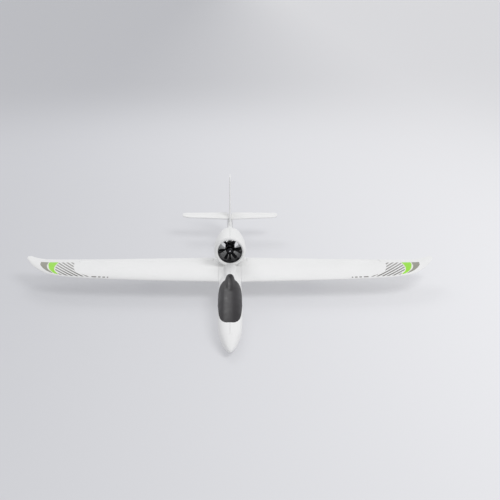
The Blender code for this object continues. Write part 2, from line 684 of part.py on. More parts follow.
def build_rudder():
    stations = (RUDDER_LOW_Z, 58, 70, 95, 125, 155, 185, FIN_TOP)
    pivot = (0, RUDDER_HINGE_Y, RUDDER_HORN_Z)
    finish_part(loft([rudder_ring(z) for z in stations]), "rudder", "foam", pivot)


# ================================================================ fan pod
def build_pod():
    outline = POD_OUTER + POD_INNER
    for name, start, side in (("nacelle_left_shell", -math.pi / 2, 1),
                              ("nacelle_right_shell", math.pi / 2, -1)):
        finish_part(turned_half(FAN_AXIS, outline, 18, start, side * GAP / 2), name, "foam")

    housing = turned_ring(FAN_AXIS, [(HOUSING_START, HOUSING_INNER_R + 0.9),
                                     (HOUSING_START, HOUSING_OUTER_R),
                                     (HOUSING_END, HOUSING_OUTER_R),
                                     (HOUSING_END, HOUSING_INNER_R),
                                     (HOUSING_START + 4, HOUSING_INNER_R)], 34)
    tube = turned_ring(FAN_AXIS, [(VANE_START - 2, MOUNT_TUBE_INNER),
                                  (VANE_START - 2, MOUNT_TUBE_OUTER),
                                  (VANE_END + 2, MOUNT_TUBE_OUTER),
                                  (VANE_END + 2, MOUNT_TUBE_INNER)], 22)
    for degrees, thickness in VANES:
        housing = add(housing, vane(degrees, thickness))
    housing = add(housing, tube)
    finish_part(housing, "fan_housing", "black_plastic")

    outline = TUBE_OUTLINE + [(s, r - TUBE_WALL) for s, r in reversed(TUBE_OUTLINE)]
    finish_part(turned_ring(FAN_AXIS, outline, 32), "thrust_tube", "grey_plastic")


def vane(degrees, thickness):
    angle = math.radians(degrees)
    outward = FAN_AXIS.side * math.cos(angle) + FAN_AXIS.up * math.sin(angle)
    across = outward.cross(FAN_AXIS.direction).normalized() * thickness / 2
    rings = []
    for radius in (MOUNT_TUBE_OUTER - 0.6, HOUSING_INNER_R + 0.6):
        base = FAN_AXIS.origin + outward * radius
        rings.append([base + FAN_AXIS.direction * VANE_START,
                      base + FAN_AXIS.direction * (VANE_START + 3) + across,
                      base + FAN_AXIS.direction * VANE_END + across,
                      base + FAN_AXIS.direction * VANE_END - across,
                      base + FAN_AXIS.direction * (VANE_START + 3) - across])
    return loft(rings)


def blade(index):
    """Twisted blade: flat lens sections from inside the hub to the tip."""
    turn = 2 * math.pi * index / BLADE_COUNT
    middle = (ROTOR_START + ROTOR_END) / 2
    rings = []
    for t in (0.0, 0.35, 0.7, 1.0):
        radius = HUB_R - 1.0 + (BLADE_TIP_R - HUB_R + 1.0) * t
        pitch = math.radians(BLADE_PITCH_ROOT + (BLADE_PITCH_TIP - BLADE_PITCH_ROOT) * t)
        sweep = 0.10 * t * t
        half = BLADE_CHORD / 2
        ring = []
        for c, w in ((-1, 0), (-0.4, 0.6), (0.5, 0.5), (1, 0), (0.5, -0.5), (-0.4, -0.6)):
            across = half * c * math.cos(pitch) - w * math.sin(pitch)
            along = half * c * math.sin(pitch) + w * math.cos(pitch)
            angle = turn + sweep + across / radius
            ring.append(FAN_AXIS.point(middle + along, radius, angle))
        rings.append(ring)
    return loft(rings)


def build_fan():
    pivot = FAN_AXIS.point((ROTOR_START + ROTOR_END) / 2, 0, 0)
    rotor = turned_ring(FAN_AXIS, [(ROTOR_START, SHAFT_R + GAP), (ROTOR_START, HUB_R),
                                   (ROTOR_END, HUB_R), (ROTOR_END, SHAFT_R + GAP)], 24)
    for index in range(BLADE_COUNT):
        rotor = add(rotor, blade(index))
    finish_part(rotor, "fan_rotor", "black_plastic", pivot)

    tip, base = SPINNER_TIP, ROTOR_START - GAP
    floor = base - SPINNER_FLOOR
    dome = [(tip + (base - tip) * (1 - math.cos(a)), HUB_R * math.sin(a))
            for a in [math.radians(d) for d in (16, 32, 50, 70, 90)]]
    spinner = turned(FAN_AXIS, dome, 24)
    spinner = cut(spinner, turned(FAN_AXIS, [(0, SPINNER_BORE_R), (floor + 0.5, SPINNER_BORE_R)], 12))
    shaft_bore = SHAFT_R + GAP
    spinner = cut(spinner, turned(FAN_AXIS, [(floor - 0.5, shaft_bore), (base + 2, shaft_bore)], 12))
    finish_part(spinner, "spinner", "black_plastic", pivot)
    head_r = SPINNER_BORE_R - GAP
    screw = turned(FAN_AXIS, [(tip + 0.5, head_r - 0.4), (tip + 1, head_r), (floor, head_r)], 12)
    finish_part(screw, "spinner_screw", "steel", pivot)
    shaft = turned(FAN_AXIS, [(floor + 0.8, SHAFT_R), (MOTOR_START - GAP, SHAFT_R)], 12)
    finish_part(shaft, "motor_shaft", "steel", pivot)

    motor = turned(FAN_AXIS, [(MOTOR_START, MOTOR_R - 1.5), (MOTOR_START + 1.5, MOTOR_R),
                              (MOTOR_END, MOTOR_R)], 24)
    finish_part(motor, "motor", "steel")
    cone = turned(FAN_AXIS, [(MOTOR_END + GAP + s, r) for s, r in CONE_PROFILE], 24)
    finish_part(cone, "motor_tail_cone", "black_plastic")


# ================================================================ servos and linkages
def local_frame(origin, shaft, along):
    """Matrix whose z is the servo shaft and whose y is the long side of its case."""
    z = Vector(shaft).normalized()
    y = Vector(along)
    y = (y - z * y.dot(z)).normalized()
    x = y.cross(z)
    matrix = Matrix((x, y, z)).transposed().to_4x4()
    matrix.translation = Vector(origin) * MM
    return matrix


def micro_servo(name, matrix):
    """Micro servo: case with mounting lugs, gear boss and output spline in one piece."""
    case = [(-6, 0), (-6, -4), (-10.6, -4), (-10.6, -6.5), (-6, -6.5), (-6, -22), (17, -22),
            (17, -6.5), (21.6, -6.5), (21.6, -4), (17, -4), (17, 0)]
    servo = side_prism(case, -6, 6)
    upright = Axis((0, 0, 0), (0, 0, 1))
    servo = add(servo, turned(upright, [(-1, 5.6), (3.4, 5.6)], 16))
    servo = add(servo, turned(upright, [(3, 2.3), (5.4, 2.3)], 12))
    servo.data.transform(matrix)
    return finish_part(servo, name, "servo_blue")


def servo_arm(name, matrix, length, reach, pivot):
    """Flat arm with its rod hole; reach is the arm's direction in the servo's own frame."""
    outline = []
    for i in range(9):
        angle = math.pi / 2 + math.pi * i / 8
        outline.append((3.2 * math.cos(angle), 3.2 * math.sin(angle)))
    for i in range(7):
        angle = -math.pi / 2 + math.pi * i / 6
        outline.append((length + 2.3 * math.cos(angle), 2.3 * math.sin(angle)))
    low, high = ARM_HEIGHT - ARM_HALF_THICK, ARM_HEIGHT + ARM_HALF_THICK
    arm = plan_prism(outline, low, high)
    hole = Axis((length, 0, 0), (0, 0, 1))
    arm = cut(arm, turned(hole, [(0, PIN_HOLE_R), (20, PIN_HOLE_R)], 10))
    arm.data.transform(Matrix.Rotation(math.atan2(reach[1], reach[0]), 4, "Z"))
    arm.data.transform(matrix)
    return finish_part(arm, name, "white_plastic", pivot)


def horn(name, hole, roots, side, pivot):
    """Thin control horn: from the two ends of its root to a round tip with a hole.

    hole and roots are points; side is the direction across the plate."""
    hole, side = Vector(hole), Vector(side).normalized()
    front, back = [Vector(p) for p in roots]
    along = ((front + back) / 2 - hole).normalized()
    across = side.cross(along).normalized()
    if across.dot(back - front) < 0:
        across = -across
    outline = [back, front]
    outline += [hole - across * 2.2 * math.cos(a) - along * 2.2 * math.sin(a)
                for a in [math.pi * i / 6 for i in range(7)]]
    plate = loft([[p + side * HORN_HALF_THICK * k for p in outline] for k in (-1, 1)])
    plate = cut(plate, rod((hole - side * 5, hole + side * 5), PIN_HOLE_R, 10))
    return finish_part(plate, name, "black_plastic", pivot)


def clevis(name, hole, along, side, pivot):
    """Fork over the horn: two prongs, a bridge and the cross pin, in one piece."""
    hole, along, side = Vector(hole), Vector(along).normalized(), Vector(side).normalized()
    up = side.cross(along).normalized()
    inner = HORN_HALF_THICK + 0.5
    outer = inner + 1.1
    reach, back = 2.2, 10.0
    outline = [(reach, outer), (reach, inner), (-5, inner), (-5, -inner), (reach, -inner),
               (reach, -outer), (-back, -outer), (-back, outer)]
    rings = [[hole + along * a + side * s + up * 1.7 * k for a, s in outline] for k in (-1, 1)]
    fork = loft(rings)
    fork = add(fork, rod((hole - side * (outer - 0.4), hole + side * (outer - 0.4)), 0.65, 8))
    return finish_part(fork, name, "black_plastic", pivot)


def pushrod(name, points, side, pivot):
    """Steel rod with a short bent end that drops through the servo arm's hole."""
    side = Vector(side).normalized()
    start = Vector(points[0])
    bar = rod([start + side * 1.9] + [Vector(p) + side * 1.9 for p in points[1:-1]] + [points[-1]],
              ROD_R, 8)
    bar = add(bar, rod((start - side * 1.6, start + side * 2.1), ROD_R, 8))
    return finish_part(bar, name, "steel", pivot)


def linkage(prefix, servo_name, servo_matrix, arm_pivot, arm_vector, arm_reach, surface_pivot,
            hole, side, bends, horn_roots):
    """One control run: servo, arm, pushrod, clevis and horn."""
    micro_servo(servo_name, servo_matrix)
    arm_tip = Vector(arm_pivot) + Vector(arm_vector)
    servo_arm(prefix + "_servo_arm", servo_matrix, Vector(arm_vector).length, arm_reach, arm_pivot)
    horn(prefix + "_horn", hole, horn_roots, side, surface_pivot)
    last = Vector(bends[-1]) if bends else arm_tip
    along = (Vector(hole) - last).normalized()
    clevis(prefix + "_clevis", hole, along, side, arm_tip)
    rod_end = Vector(hole) - along * 10.3
    pushrod(prefix + "_pushrod", [arm_tip] + bends + [rod_end], side, arm_tip)


def elevator_arm_pivot():
    return ELEVATOR_SERVO + Vector((-ARM_HEIGHT, 0, 0))


def elevator_hole():
    return Vector((ELEVATOR_HORN_X, ELEVATOR_HINGE_Y, STAB_Z - ELEVATOR_ARM_R))


def elevator_bend():
    """Where the elevator rod leaves its joggle beside the servo."""
    return Vector((1.5, -118.0, 34.4))


def elevator_rod_line():
    return elevator_bend(), elevator_hole()


def rudder_arm_pivot():
    return RUDDER_SERVO + Vector((0, 0, ARM_HEIGHT))


def rudder_hole():
    return Vector((RUDDER_ARM_R, RUDDER_HINGE_Y, RUDDER_HORN_Z))


def rudder_rod_line():
    return rudder_arm_pivot() + Vector((RUDDER_ARM_R, 0, 0)), rudder_hole()


def aileron_servo_origin():
    return Vector((AILERON_LINK_X + ARM_HEIGHT, AILERON_SERVO_Y, AILERON_SERVO_Z))


def servo_pocket():
    """Box cut into the wing's underside for an aileron servo and its arm."""
    low = (AILERON_LINK_X - 4, AILERON_SERVO_Y - 11.2, 30.0)
    high = (AILERON_LINK_X + 30, AILERON_SERVO_Y + 22.2, AILERON_SERVO_Z + 7.0)
    return low, high


def underside(x, y):
    """Point just under the wing section at span x and place y."""
    lead, trail = blend(LEADING, x), blend(TRAILING, x)
    return airfoil(x, (y - lead) / (trail - lead), -1) - Vector((0, 0, GAP))


def aileron_axis():
    """Hinge direction of the left aileron, from root to tip."""
    return (aileron_hinge(AILERON_OUT_X) - aileron_hinge(AILERON_IN_X)).normalized()


def build_linkages():
    elevator_pivot = elevator_arm_pivot()
    joggle = Vector((elevator_pivot.x, elevator_pivot.y + 12, elevator_pivot.z - ELEVATOR_ARM_R))
    linkage("elevator", "elevator_servo",
            local_frame(ELEVATOR_SERVO, (-1, 0, 0), (0, -1, 0)),
            elevator_pivot, (0, 0, -ELEVATOR_ARM_R), (1, 0),
            (0, ELEVATOR_HINGE_Y, STAB_Z), elevator_hole(), (-1, 0, 0),
            [joggle, elevator_bend()],
            [(ELEVATOR_HORN_X, ELEVATOR_HINGE_Y - 1, STAB_Z - 3.5),
             (ELEVATOR_HORN_X, ELEVATOR_HINGE_Y + 10, STAB_Z - 2.6)])

    linkage("rudder", "rudder_servo",
            local_frame(RUDDER_SERVO, (0, 0, 1), (0, 1, 0)),
            rudder_arm_pivot(), (RUDDER_ARM_R, 0, 0), (1, 0),
            (0, RUDDER_HINGE_Y, RUDDER_HORN_Z), rudder_hole(), (0, 0, 1), [],
            [(3.6, RUDDER_HINGE_Y - 1, RUDDER_HORN_Z), (3.1, RUDDER_HINGE_Y + 10, RUDDER_HORN_Z)])

    axis = aileron_axis()
    down = Vector((0, 0, -AILERON_HORN_R))
    origin = aileron_servo_origin()
    arm_pivot = origin - axis * ARM_HEIGHT
    hinge = aileron_hinge(AILERON_LINK_X)
    roots = [(AILERON_LINK_X, hinge.y - 1, hinge.z - aileron_radius(AILERON_LINK_X) - GAP),
             underside(AILERON_LINK_X, hinge.y + 12)]
    for prefix, mirror in (("left_aileron", 1), ("right_aileron", -1)):
        flip = Matrix.Diagonal((mirror, 1, 1))
        linkage(prefix, prefix + "_servo",
                local_frame(flip @ origin, flip @ -axis, (0, 1, 0)),
                flip @ arm_pivot, down, (-mirror, 0),
                flip @ hinge, flip @ (hinge + down), flip @ -axis, [],
                [flip @ Vector(p) for p in roots])


# ================================================================ equipment bay
def build_equipment():
    tray = block(TRAY_LOW, TRAY_HIGH)
    for y in TRAY_SLOT_Y:
        for side in (-1, 1):
            low_x, high_x = sorted((side * TRAY_SLOT_INNER_X, side * 25))
            tray = cut(tray, block((low_x, y, 5), (high_x, y + TRAY_SLOT_LENGTH, 20)))
    finish_part(tray, "battery_tray", "ply")
    finish_part(block(BATTERY_LOW, BATTERY_HIGH), "battery_pack", "battery_wrap")

    half, low, high = STRAP_HALF_WIDTH, STRAP_LOW_Z, STRAP_HIGH_Z
    middle = (low + high) / 2
    inside = [(-half, low), (half, low), (half, high), (-half, high)]
    outside = [(x * STRAP_SIDE_GROWTH, middle + (z - middle) * STRAP_HEIGHT_GROWTH)
               for x, z in inside]
    strap = loft([[(x, y, z) for x, z in outside] for y in (STRAP_FRONT_Y, STRAP_BACK_Y)])
    window = (STRAP_FRONT_Y - 8, STRAP_BACK_Y + 6)
    strap = cut(strap, loft([[(x, y, z) for x, z in inside] for y in window]))
    finish_part(strap, "battery_strap", "hook_fabric")
    finish_part(block(CONTROLLER_LOW, CONTROLLER_HIGH), "speed_controller", "black_plastic")
    finish_part(block(RECEIVER_LOW, RECEIVER_HIGH), "receiver", "grey_plastic")


def clear_scene():
    for obj in list(bpy.data.objects):
        bpy.data.objects.remove(obj)


def main():
    clear_scene()
    build_fuselage()
    build_nose_cap()
    build_skid()
    build_wing()
    build_stabilizer()
    build_elevator()
    build_fin()
    build_rudder()
    build_pod()
    build_fan()
    build_linkages()
    build_equipment()


main()
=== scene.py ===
"""Looks of the ducted-fan glider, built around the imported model.

All lengths are in millimetres until a mesh is made, as in the design: nose towards -Y,
+X the aircraft's left wing, z counted from the ground under the skid.
"""
import json
import math

import bmesh
import bpy
from mathutils import Matrix, Vector

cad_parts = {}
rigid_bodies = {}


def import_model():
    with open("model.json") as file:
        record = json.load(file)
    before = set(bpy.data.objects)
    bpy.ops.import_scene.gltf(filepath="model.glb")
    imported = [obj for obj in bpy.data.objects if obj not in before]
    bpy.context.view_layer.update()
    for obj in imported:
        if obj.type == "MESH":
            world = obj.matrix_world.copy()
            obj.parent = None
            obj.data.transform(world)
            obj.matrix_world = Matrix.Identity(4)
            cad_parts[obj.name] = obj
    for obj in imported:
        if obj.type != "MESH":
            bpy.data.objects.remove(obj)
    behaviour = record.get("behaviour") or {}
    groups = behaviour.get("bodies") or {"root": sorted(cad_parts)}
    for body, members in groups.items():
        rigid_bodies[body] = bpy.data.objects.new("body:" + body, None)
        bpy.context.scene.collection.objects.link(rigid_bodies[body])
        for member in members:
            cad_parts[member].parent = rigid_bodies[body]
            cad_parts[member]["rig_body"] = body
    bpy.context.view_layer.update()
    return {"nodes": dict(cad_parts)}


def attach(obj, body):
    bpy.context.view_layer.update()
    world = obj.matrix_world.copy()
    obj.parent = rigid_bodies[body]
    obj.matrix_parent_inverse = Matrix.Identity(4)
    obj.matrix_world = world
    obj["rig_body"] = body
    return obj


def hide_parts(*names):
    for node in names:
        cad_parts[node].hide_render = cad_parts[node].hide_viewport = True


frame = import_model()
NODES = frame["nodes"]

MM = 0.001
SEAM = 0.3             # gap between moulded halves and panels
JOINT_GAP = 0.8        # air gap ahead of a control surface

# ---------------------------------------------------------------- airframe dimensions
HALF_SPAN = 580.0
NOSE_Y = -432.0
NOSE_SEAM_Y = -385.0
BOOM_END_Y = 381.0
# y, half width, lowest z, highest z
BODY = [
    (-432, 0.0, 18.0, 18.0), (-408, 14.8, 7.6, 32.2), (-385, 21.7, 3.8, 39.2),
    (-346, 29.0, 2.6, 49.0), (-300, 31.0, 2.3, 58.0), (-230, 31.7, 2.3, 67.5),
    (-170, 31.7, 2.3, 72.0), (-120, 31.0, 2.3, 70.5), (-40, 29.5, 2.3, 69.0),
    (20, 26.5, 4.5, 67.5), (66, 22.5, 11.0, 66.0), (120, 17.0, 23.0, 65.0),
    (180, 12.5, 36.0, 65.5), (226, 10.0, 43.5, 67.0), (276, 7.4, 51.0, 69.3),
    (320, 6.2, 54.0, 70.0), (382, 5.6, 56.0, 70.0),
]
BODY_POWER = 2.4
CAVITY = [
    (-376, 13.0, 13.0, 29.0), (-346, 24.0, 8.5, 44.3), (-300, 26.3, 8.0, 53.5),
    (-230, 26.7, 8.0, 62.5), (-185, 26.7, 8.0, 64.0), (-150, 26.0, 8.0, 58.0),
    (-125, 26.0, 8.0, 52.0), (-64, 25.5, 8.0, 49.5), (20, 22.5, 9.5, 57.0),
    (66, 18.5, 17.0, 58.5), (120, 13.5, 28.0, 60.5), (180, 9.6, 39.5, 62.0),
    (238, 6.6, 48.5, 64.0),
]
CAVITY_POWER = 3.0
# y, half width, highest z
SPINE = [
    (-235, 9.0, 61.0), (-200, 12.0, 72.6), (-165, 14.0, 77.6), (-118, 14.6, 80.1),
    (-90, 16.0, 80.3), (-50, 18.5, 79.0), (20, 19.0, 77.0), (66, 17.0, 71.5),
    (100, 13.0, 68.0), (140, 9.0, 64.0),
]
SPINE_BASE_Z = 52.0
PARTING = [(-343.5, 41.0), (-337, 39.3), (-322, 38.6), (-230, 38.6), (-200, 42.0),
           (-165, 57.0), (-124, 80.6)]
PARTING_FRONT_TOP = (-346.6, 56.0)
# Plan of the hatch's rounded front: half width, y
HATCH_FRONT = [(0, -346.6), (6, -346.0), (13, -342.8), (19, -335.5), (24, -322.0), (27.4, -302.0),
               (29.6, -272.0), (31.2, -240.0), (36.0, -228.0)]

# ---------------------------------------------------------------- wing
WING_ROOT_X = 31.3
STUB_X = 31.0
LEADING = [(0, -120), (200, -114.5), (410, -104), (497, -84), (548, -41), (568, -13), (580, 8)]
TRAILING = [(0, 66), (200, 49), (410, 33), (522, 26), (550, 24), (572, 27), (580, 21)]
LEADING_Z = [(0, 54), (410, 59), (497, 60.5), (548, 64), (574, 68), (580, 69.4)]
TRAILING_Z = [(0, 48), (410, 55), (522, 58), (550, 62.5), (574, 68), (580, 69.4)]
THICKNESS = [(0, 0.115), (410, 0.105), (520, 0.085), (580, 0.07)]
CAMBER = 0.03
TRAILING_EDGE_HALF = 0.7
HINGE_CHORD = 0.73
AILERON_IN_X, AILERON_OUT_X = 49.0, 428.0
SPAR_Y, SPAR_Z, SPAR_R, SPAR_HALF = -64.0, 57.0, 4.0, 250.0
PIN_Y, PIN_Z, PIN_R, PIN_HALF = 0.0, 55.2, 2.0, 60.0
AILERON_LINK_X, AILERON_SERVO_Y, AILERON_SERVO_Z = 200.0, -48.0, 54.0

# ---------------------------------------------------------------- tail
STAB_HALF, STAB_Z = 156.0, 78.0
STAB_LE_Y, STAB_TIP_LE_Y = 318.0, 335.0
ELEVATOR_HINGE_Y = 358.6
ELEVATOR_TE_Y, ELEVATOR_TIP_TE_Y = 384.0, 380.0
ELEVATOR_INNER_X = 8.0
STAB_HALF_THICK, STAB_TIP_HALF_THICK = 3.3, 2.4
FIN_FOOT_Z, FIN_TOP = 70.7, 201.0
FIN_LEADING = [(70.7, 277.0), (82, 302.0), (110, 330.0), (150, 350.0), (185, 367.0), (201, 379.0)]
FIN_HALF_THICK = 3.6
RUDDER_HINGE_Y, RUDDER_LOW_Z = 386.0, 50.0
RUDDER_TRAILING = [(50, 424.0), (70, 431.0), (95, 432.0), (150, 430.5), (190, 426.5), (201, 420.0)]
RUDDER_RADIUS = [(50, 3.2), (120, 3.0), (201, 2.2)]

# ---------------------------------------------------------------- camera: metres, mm of lens, degrees
CAMERA_PLACE = (0, -1.9029, 0.8671)
CAMERA_LENS, CAMERA_SHIFT_X, CAMERA_TILT = 52.12, 0.04, 68.0

# ---------------------------------------------------------------- fan pod
FAN_TILT = 4.0
FAN_ORIGIN = Vector((0.0, -51.0, 112.0))
POD_OUTER = [(0, 37.6), (1.6, 40.2), (6, 42.5), (16, 43.6), (40, 43.6), (75, 41.6), (108, 37.6),
             (131, 33.6)]
HUB_R, BLADE_TIP_R, BLADE_COUNT = 11.3, 31.2, 6
ROTOR_START, ROTOR_END = 18.0, 34.0

# ---------------------------------------------------------------- pushrods
ELEVATOR_ROD = (Vector((1.5, -118.0, 34.4)), Vector((-9.2, 358.6, 69.0)))
RUDDER_ROD = (Vector((-4.0, -146.0, 42.6)), Vector((10.0, 386.0, 62.0)))


# ================================================================ curves and rings
def blend(points, position):
    """Smooth value at a position along (position, value) points, without overshoot."""
    xs = [p[0] for p in points]
    ys = [p[1] for p in points]
    if position <= xs[0]:
        return ys[0]
    if position >= xs[-1]:
        return ys[-1]
    steps = [(ys[i + 1] - ys[i]) / (xs[i + 1] - xs[i]) for i in range(len(xs) - 1)]
    slopes = [steps[0]]
    for before, after in zip(steps, steps[1:]):
        same_way = before * after > 0
        slopes.append(2 * before * after / (before + after) if same_way else 0.0)
    slopes.append(steps[-1])
    i = max(k for k in range(len(xs) - 1) if xs[k] <= position)
    width = xs[i + 1] - xs[i]
    t = (position - xs[i]) / width
    rise = ys[i + 1] - ys[i]
    return (ys[i] + rise * t * t * (3 - 2 * t)
            + width * t * (1 - t) * (slopes[i] * (1 - t) - slopes[i + 1] * t))


def spread(low, high, count):
    return [low + (high - low) * i / (count - 1) for i in range(count)]


def body_value(table, column, y):
    points = [(math.sqrt(row[0] - NOSE_Y), row[column]) for row in table]
    return blend(points, math.sqrt(max(y - NOSE_Y, 0.0)))


def superellipse(y, half_width, low, high, power, count):
    mid, half = (low + high) / 2, (high - low) / 2
    ring = []
    for i in range(count):
        angle = 2 * math.pi * (i + 0.5) / count
        c, s = math.cos(angle), math.sin(angle)
        x = half_width * math.copysign(abs(c) ** (2 / power), c)
        z = mid + half * math.copysign(abs(s) ** (2 / power), s)
        ring.append((x, y, z))
    return ring


def body_ring(table, y, power, count):
    return superellipse(y, body_value(table, 1, y), body_value(table, 2, y),
                        body_value(table, 3, y), power, count)


class Axis:
    """A turning axis: points are placed by distance along it, radius and angle."""

    def __init__(self, origin, direction, side=Vector((1, 0, 0))):
        self.origin = Vector(origin)
        self.direction = Vector(direction).normalized()
        side = Vector(side)
        self.side = (side - self.direction * side.dot(self.direction)).normalized()
        self.up = self.side.cross(self.direction)

    def point(self, along, radius, angle):
        turn = self.side * math.cos(angle) + self.up * math.sin(angle)
        return self.origin + self.direction * along + turn * radius


FAN_AXIS = Axis(FAN_ORIGIN, (0, math.cos(math.radians(FAN_TILT)), -math.sin(math.radians(FAN_TILT))))


# ================================================================ meshes
def make_object(bm, name="piece"):
    bmesh.ops.recalc_face_normals(bm, faces=bm.faces)
    mesh = bpy.data.meshes.new(name)
    bm.to_mesh(mesh)
    bm.free()
    obj = bpy.data.objects.new(name, mesh)
    bpy.context.scene.collection.objects.link(obj)
    return obj


def loft(rings, closed=False, caps=True):
    """Solid through rings of equal length; closed joins the last ring to the first."""
    bm = bmesh.new()
    loops = [[bm.verts.new(Vector(p) * MM) for p in ring] for ring in rings]
    pairs = list(zip(loops, loops[1:]))
    if closed:
        pairs.append((loops[-1], loops[0]))
    count = len(loops[0])
    for first, second in pairs:
        for i in range(count):
            j = (i + 1) % count
            bm.faces.new((first[i], first[j], second[j], second[i]))
    if not closed and caps:
        bm.faces.new(list(reversed(loops[0])))
        bm.faces.new(loops[-1])
    return make_object(bm)


def turned(axis, profile, steps):
    rings = []
    for along, radius in profile:
        rings.append([axis.point(along, radius, 2 * math.pi * i / steps) for i in range(steps)])
    return loft(rings)


def turned_ring(axis, profile, steps):
    rings = []
    for i in range(steps):
        angle = 2 * math.pi * i / steps
        rings.append([axis.point(along, radius, angle) for along, radius in profile])
    return loft(rings, closed=True)


def turned_half(axis, profile, steps, start, side_shift):
    shift = Vector((side_shift, 0, 0))
    rings = []
    for i in range(steps + 1):
        angle = start + math.pi * i / steps
        rings.append([axis.point(along, radius, angle) + shift for along, radius in profile])
    return loft(rings)


def tube_along(points, radius, sides):
    """Round bar through points, mitred at its bends."""
    points = [Vector(p) for p in points]
    rings = []
    for i, point in enumerate(points):
        ahead = points[min(i + 1, len(points) - 1)]
        behind = points[max(i - 1, 0)]
        along = (ahead - behind).normalized()
        reference = Vector((0, 0, 1)) if abs(along.z) < 0.9 else Vector((1, 0, 0))
        axis = Axis(point, along, reference)
        rings.append([axis.point(0, radius, 2 * math.pi * k / sides) for k in range(sides)])
    return loft(rings)


def block(low, high):
    ring = [(low[0], low[1]), (high[0], low[1]), (high[0], high[1]), (low[0], high[1])]
    return loft([[(x, y, z) for x, y in ring] for z in (low[2], high[2])])


def side_prism(outline, low_x, high_x):
    return loft([[(x, y, z) for y, z in outline] for x in (low_x, high_x)])


def plan_prism(outline, low_z, high_z):
    return loft([[(x, y, z) for x, y in outline] for z in (low_z, high_z)])


def apply_modifiers(obj):
    bpy.context.view_layer.update()
    graph = bpy.context.evaluated_depsgraph_get()
    mesh = bpy.data.meshes.new_from_object(obj.evaluated_get(graph))
    obj.modifiers.clear()
    old = obj.data
    obj.data = mesh
    bpy.data.meshes.remove(old)
    return obj


def combine(target, tool, operation):
    modifier = target.modifiers.new("combine", "BOOLEAN")
    modifier.operation = operation
    modifier.object = tool
    apply_modifiers(target)
    bpy.data.objects.remove(tool)
    return target


def cut(target, tool):
    return combine(target, tool, "DIFFERENCE")


def add(target, tool):
    return combine(target, tool, "UNION")


def keep_inside(target, tool):
    return combine(target, tool, "INTERSECT")


def bevelled(obj, width, segments=2, angle=40):
    """Round the crisp edges of a clean solid."""
    modifier = obj.modifiers.new("round", "BEVEL")
    modifier.width = width * MM
    modifier.segments = segments
    modifier.limit_method = "ANGLE"
    modifier.angle_limit = math.radians(angle)
    return apply_modifiers(obj)


def melted(obj, voxel, passes):
    """Remesh and smooth, so that joined volumes flow into each other with fillets."""
    modifier = obj.modifiers.new("voxels", "REMESH")
    modifier.mode = "VOXEL"
    modifier.voxel_size = voxel * MM
    smooth = obj.modifiers.new("relax", "SMOOTH")
    smooth.factor = 0.5
    smooth.iterations = passes
    return apply_modifiers(obj)


def copy_of(obj):
    twin = bpy.data.objects.new(obj.name, obj.data.copy())
    bpy.context.scene.collection.objects.link(twin)
    return twin


def mirrored(obj):
    twin = copy_of(obj)
    twin.data.transform(Matrix.Scale(-1, 4, Vector((1, 0, 0))))
    twin.data.flip_normals()
    return twin


def piece(obj, name, body, material, replaces=(), smooth_angle=38):
    """Name a piece, give it its material and make it ride on its body."""
    obj.name = name
    obj.data.name = name
    obj.data.materials.clear()
    obj.data.materials.append(material)
    obj.data.shade_smooth()
    obj.data.set_sharp_from_angle(angle=math.radians(smooth_angle))
    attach(obj, body)
    if replaces:
        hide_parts(*replaces)
    return obj


# ================================================================ materials
class Nodes:
    """Short way to write a node tree around a Principled shader."""

    def __init__(self, name, colour, roughness, metallic=0.0):
        self.material = bpy.data.materials.new(name)
        self.material.use_nodes = True
        self.tree = self.material.node_tree
        self.shader = self.tree.nodes["Principled BSDF"]
        self.shader.inputs["Base Color"].default_value = (*colour, 1)
        self.shader.inputs["Roughness"].default_value = roughness
        self.shader.inputs["Metallic"].default_value = metallic
        self.place = self.tree.nodes.new("ShaderNodeTexCoord").outputs["Object"]

    def node(self, kind, **values):
        node = self.tree.nodes.new(kind)
        for key, value in values.items():
            if key in node.inputs:
                node.inputs[key].default_value = value
            else:
                setattr(node, key, value)
        return node

    def link(self, source, target):
        self.tree.links.new(source, target)

    def noise(self, scale, detail=3.0, roughness=0.55, place=None):
        node = self.node("ShaderNodeTexNoise", Scale=scale, Detail=detail, Roughness=roughness)
        self.link(place or self.place, node.inputs["Vector"])
        return node.outputs["Fac"]

    def stretched(self, scale):
        node = self.node("ShaderNodeMapping", Scale=scale)
        self.link(self.place, node.inputs["Vector"])
        return node.outputs["Vector"]

    def ramp(self, source, stops):
        node = self.tree.nodes.new("ShaderNodeValToRGB")
        while len(node.color_ramp.elements) < len(stops):
            node.color_ramp.elements.new(0.5)
        for element, (position, colour) in zip(node.color_ramp.elements, stops):
            element.position = position
            element.color = (*colour, 1)
        self.link(source, node.inputs["Fac"])
        return node.outputs["Color"]

    def spread_to(self, source, low, high, target):
        node = self.node("ShaderNodeMapRange")
        node.inputs["From Min"].default_value = 0.3
        node.inputs["From Max"].default_value = 0.7
        node.inputs["To Min"].default_value = low
        node.inputs["To Max"].default_value = high
        self.link(source, node.inputs["Value"])
        self.link(node.outputs["Result"], target)

    def colour(self, source, low, high):
        self.link(self.ramp(source, [(0.3, low), (0.7, high)]), self.shader.inputs["Base Color"])

    def roughness(self, source, low, high):
        self.spread_to(source, low, high, self.shader.inputs["Roughness"])

    def bump(self, source, strength, distance, after=None):
        node = self.node("ShaderNodeBump", Strength=strength, Distance=distance)
        self.link(source, node.inputs["Height"])
        if after is not None:
            self.link(after, node.inputs["Normal"])
        self.link(node.outputs["Normal"], self.shader.inputs["Normal"])
        return node.outputs["Normal"]


def shade(colour, factor):
    return tuple(min(1.0, c * factor) for c in colour)


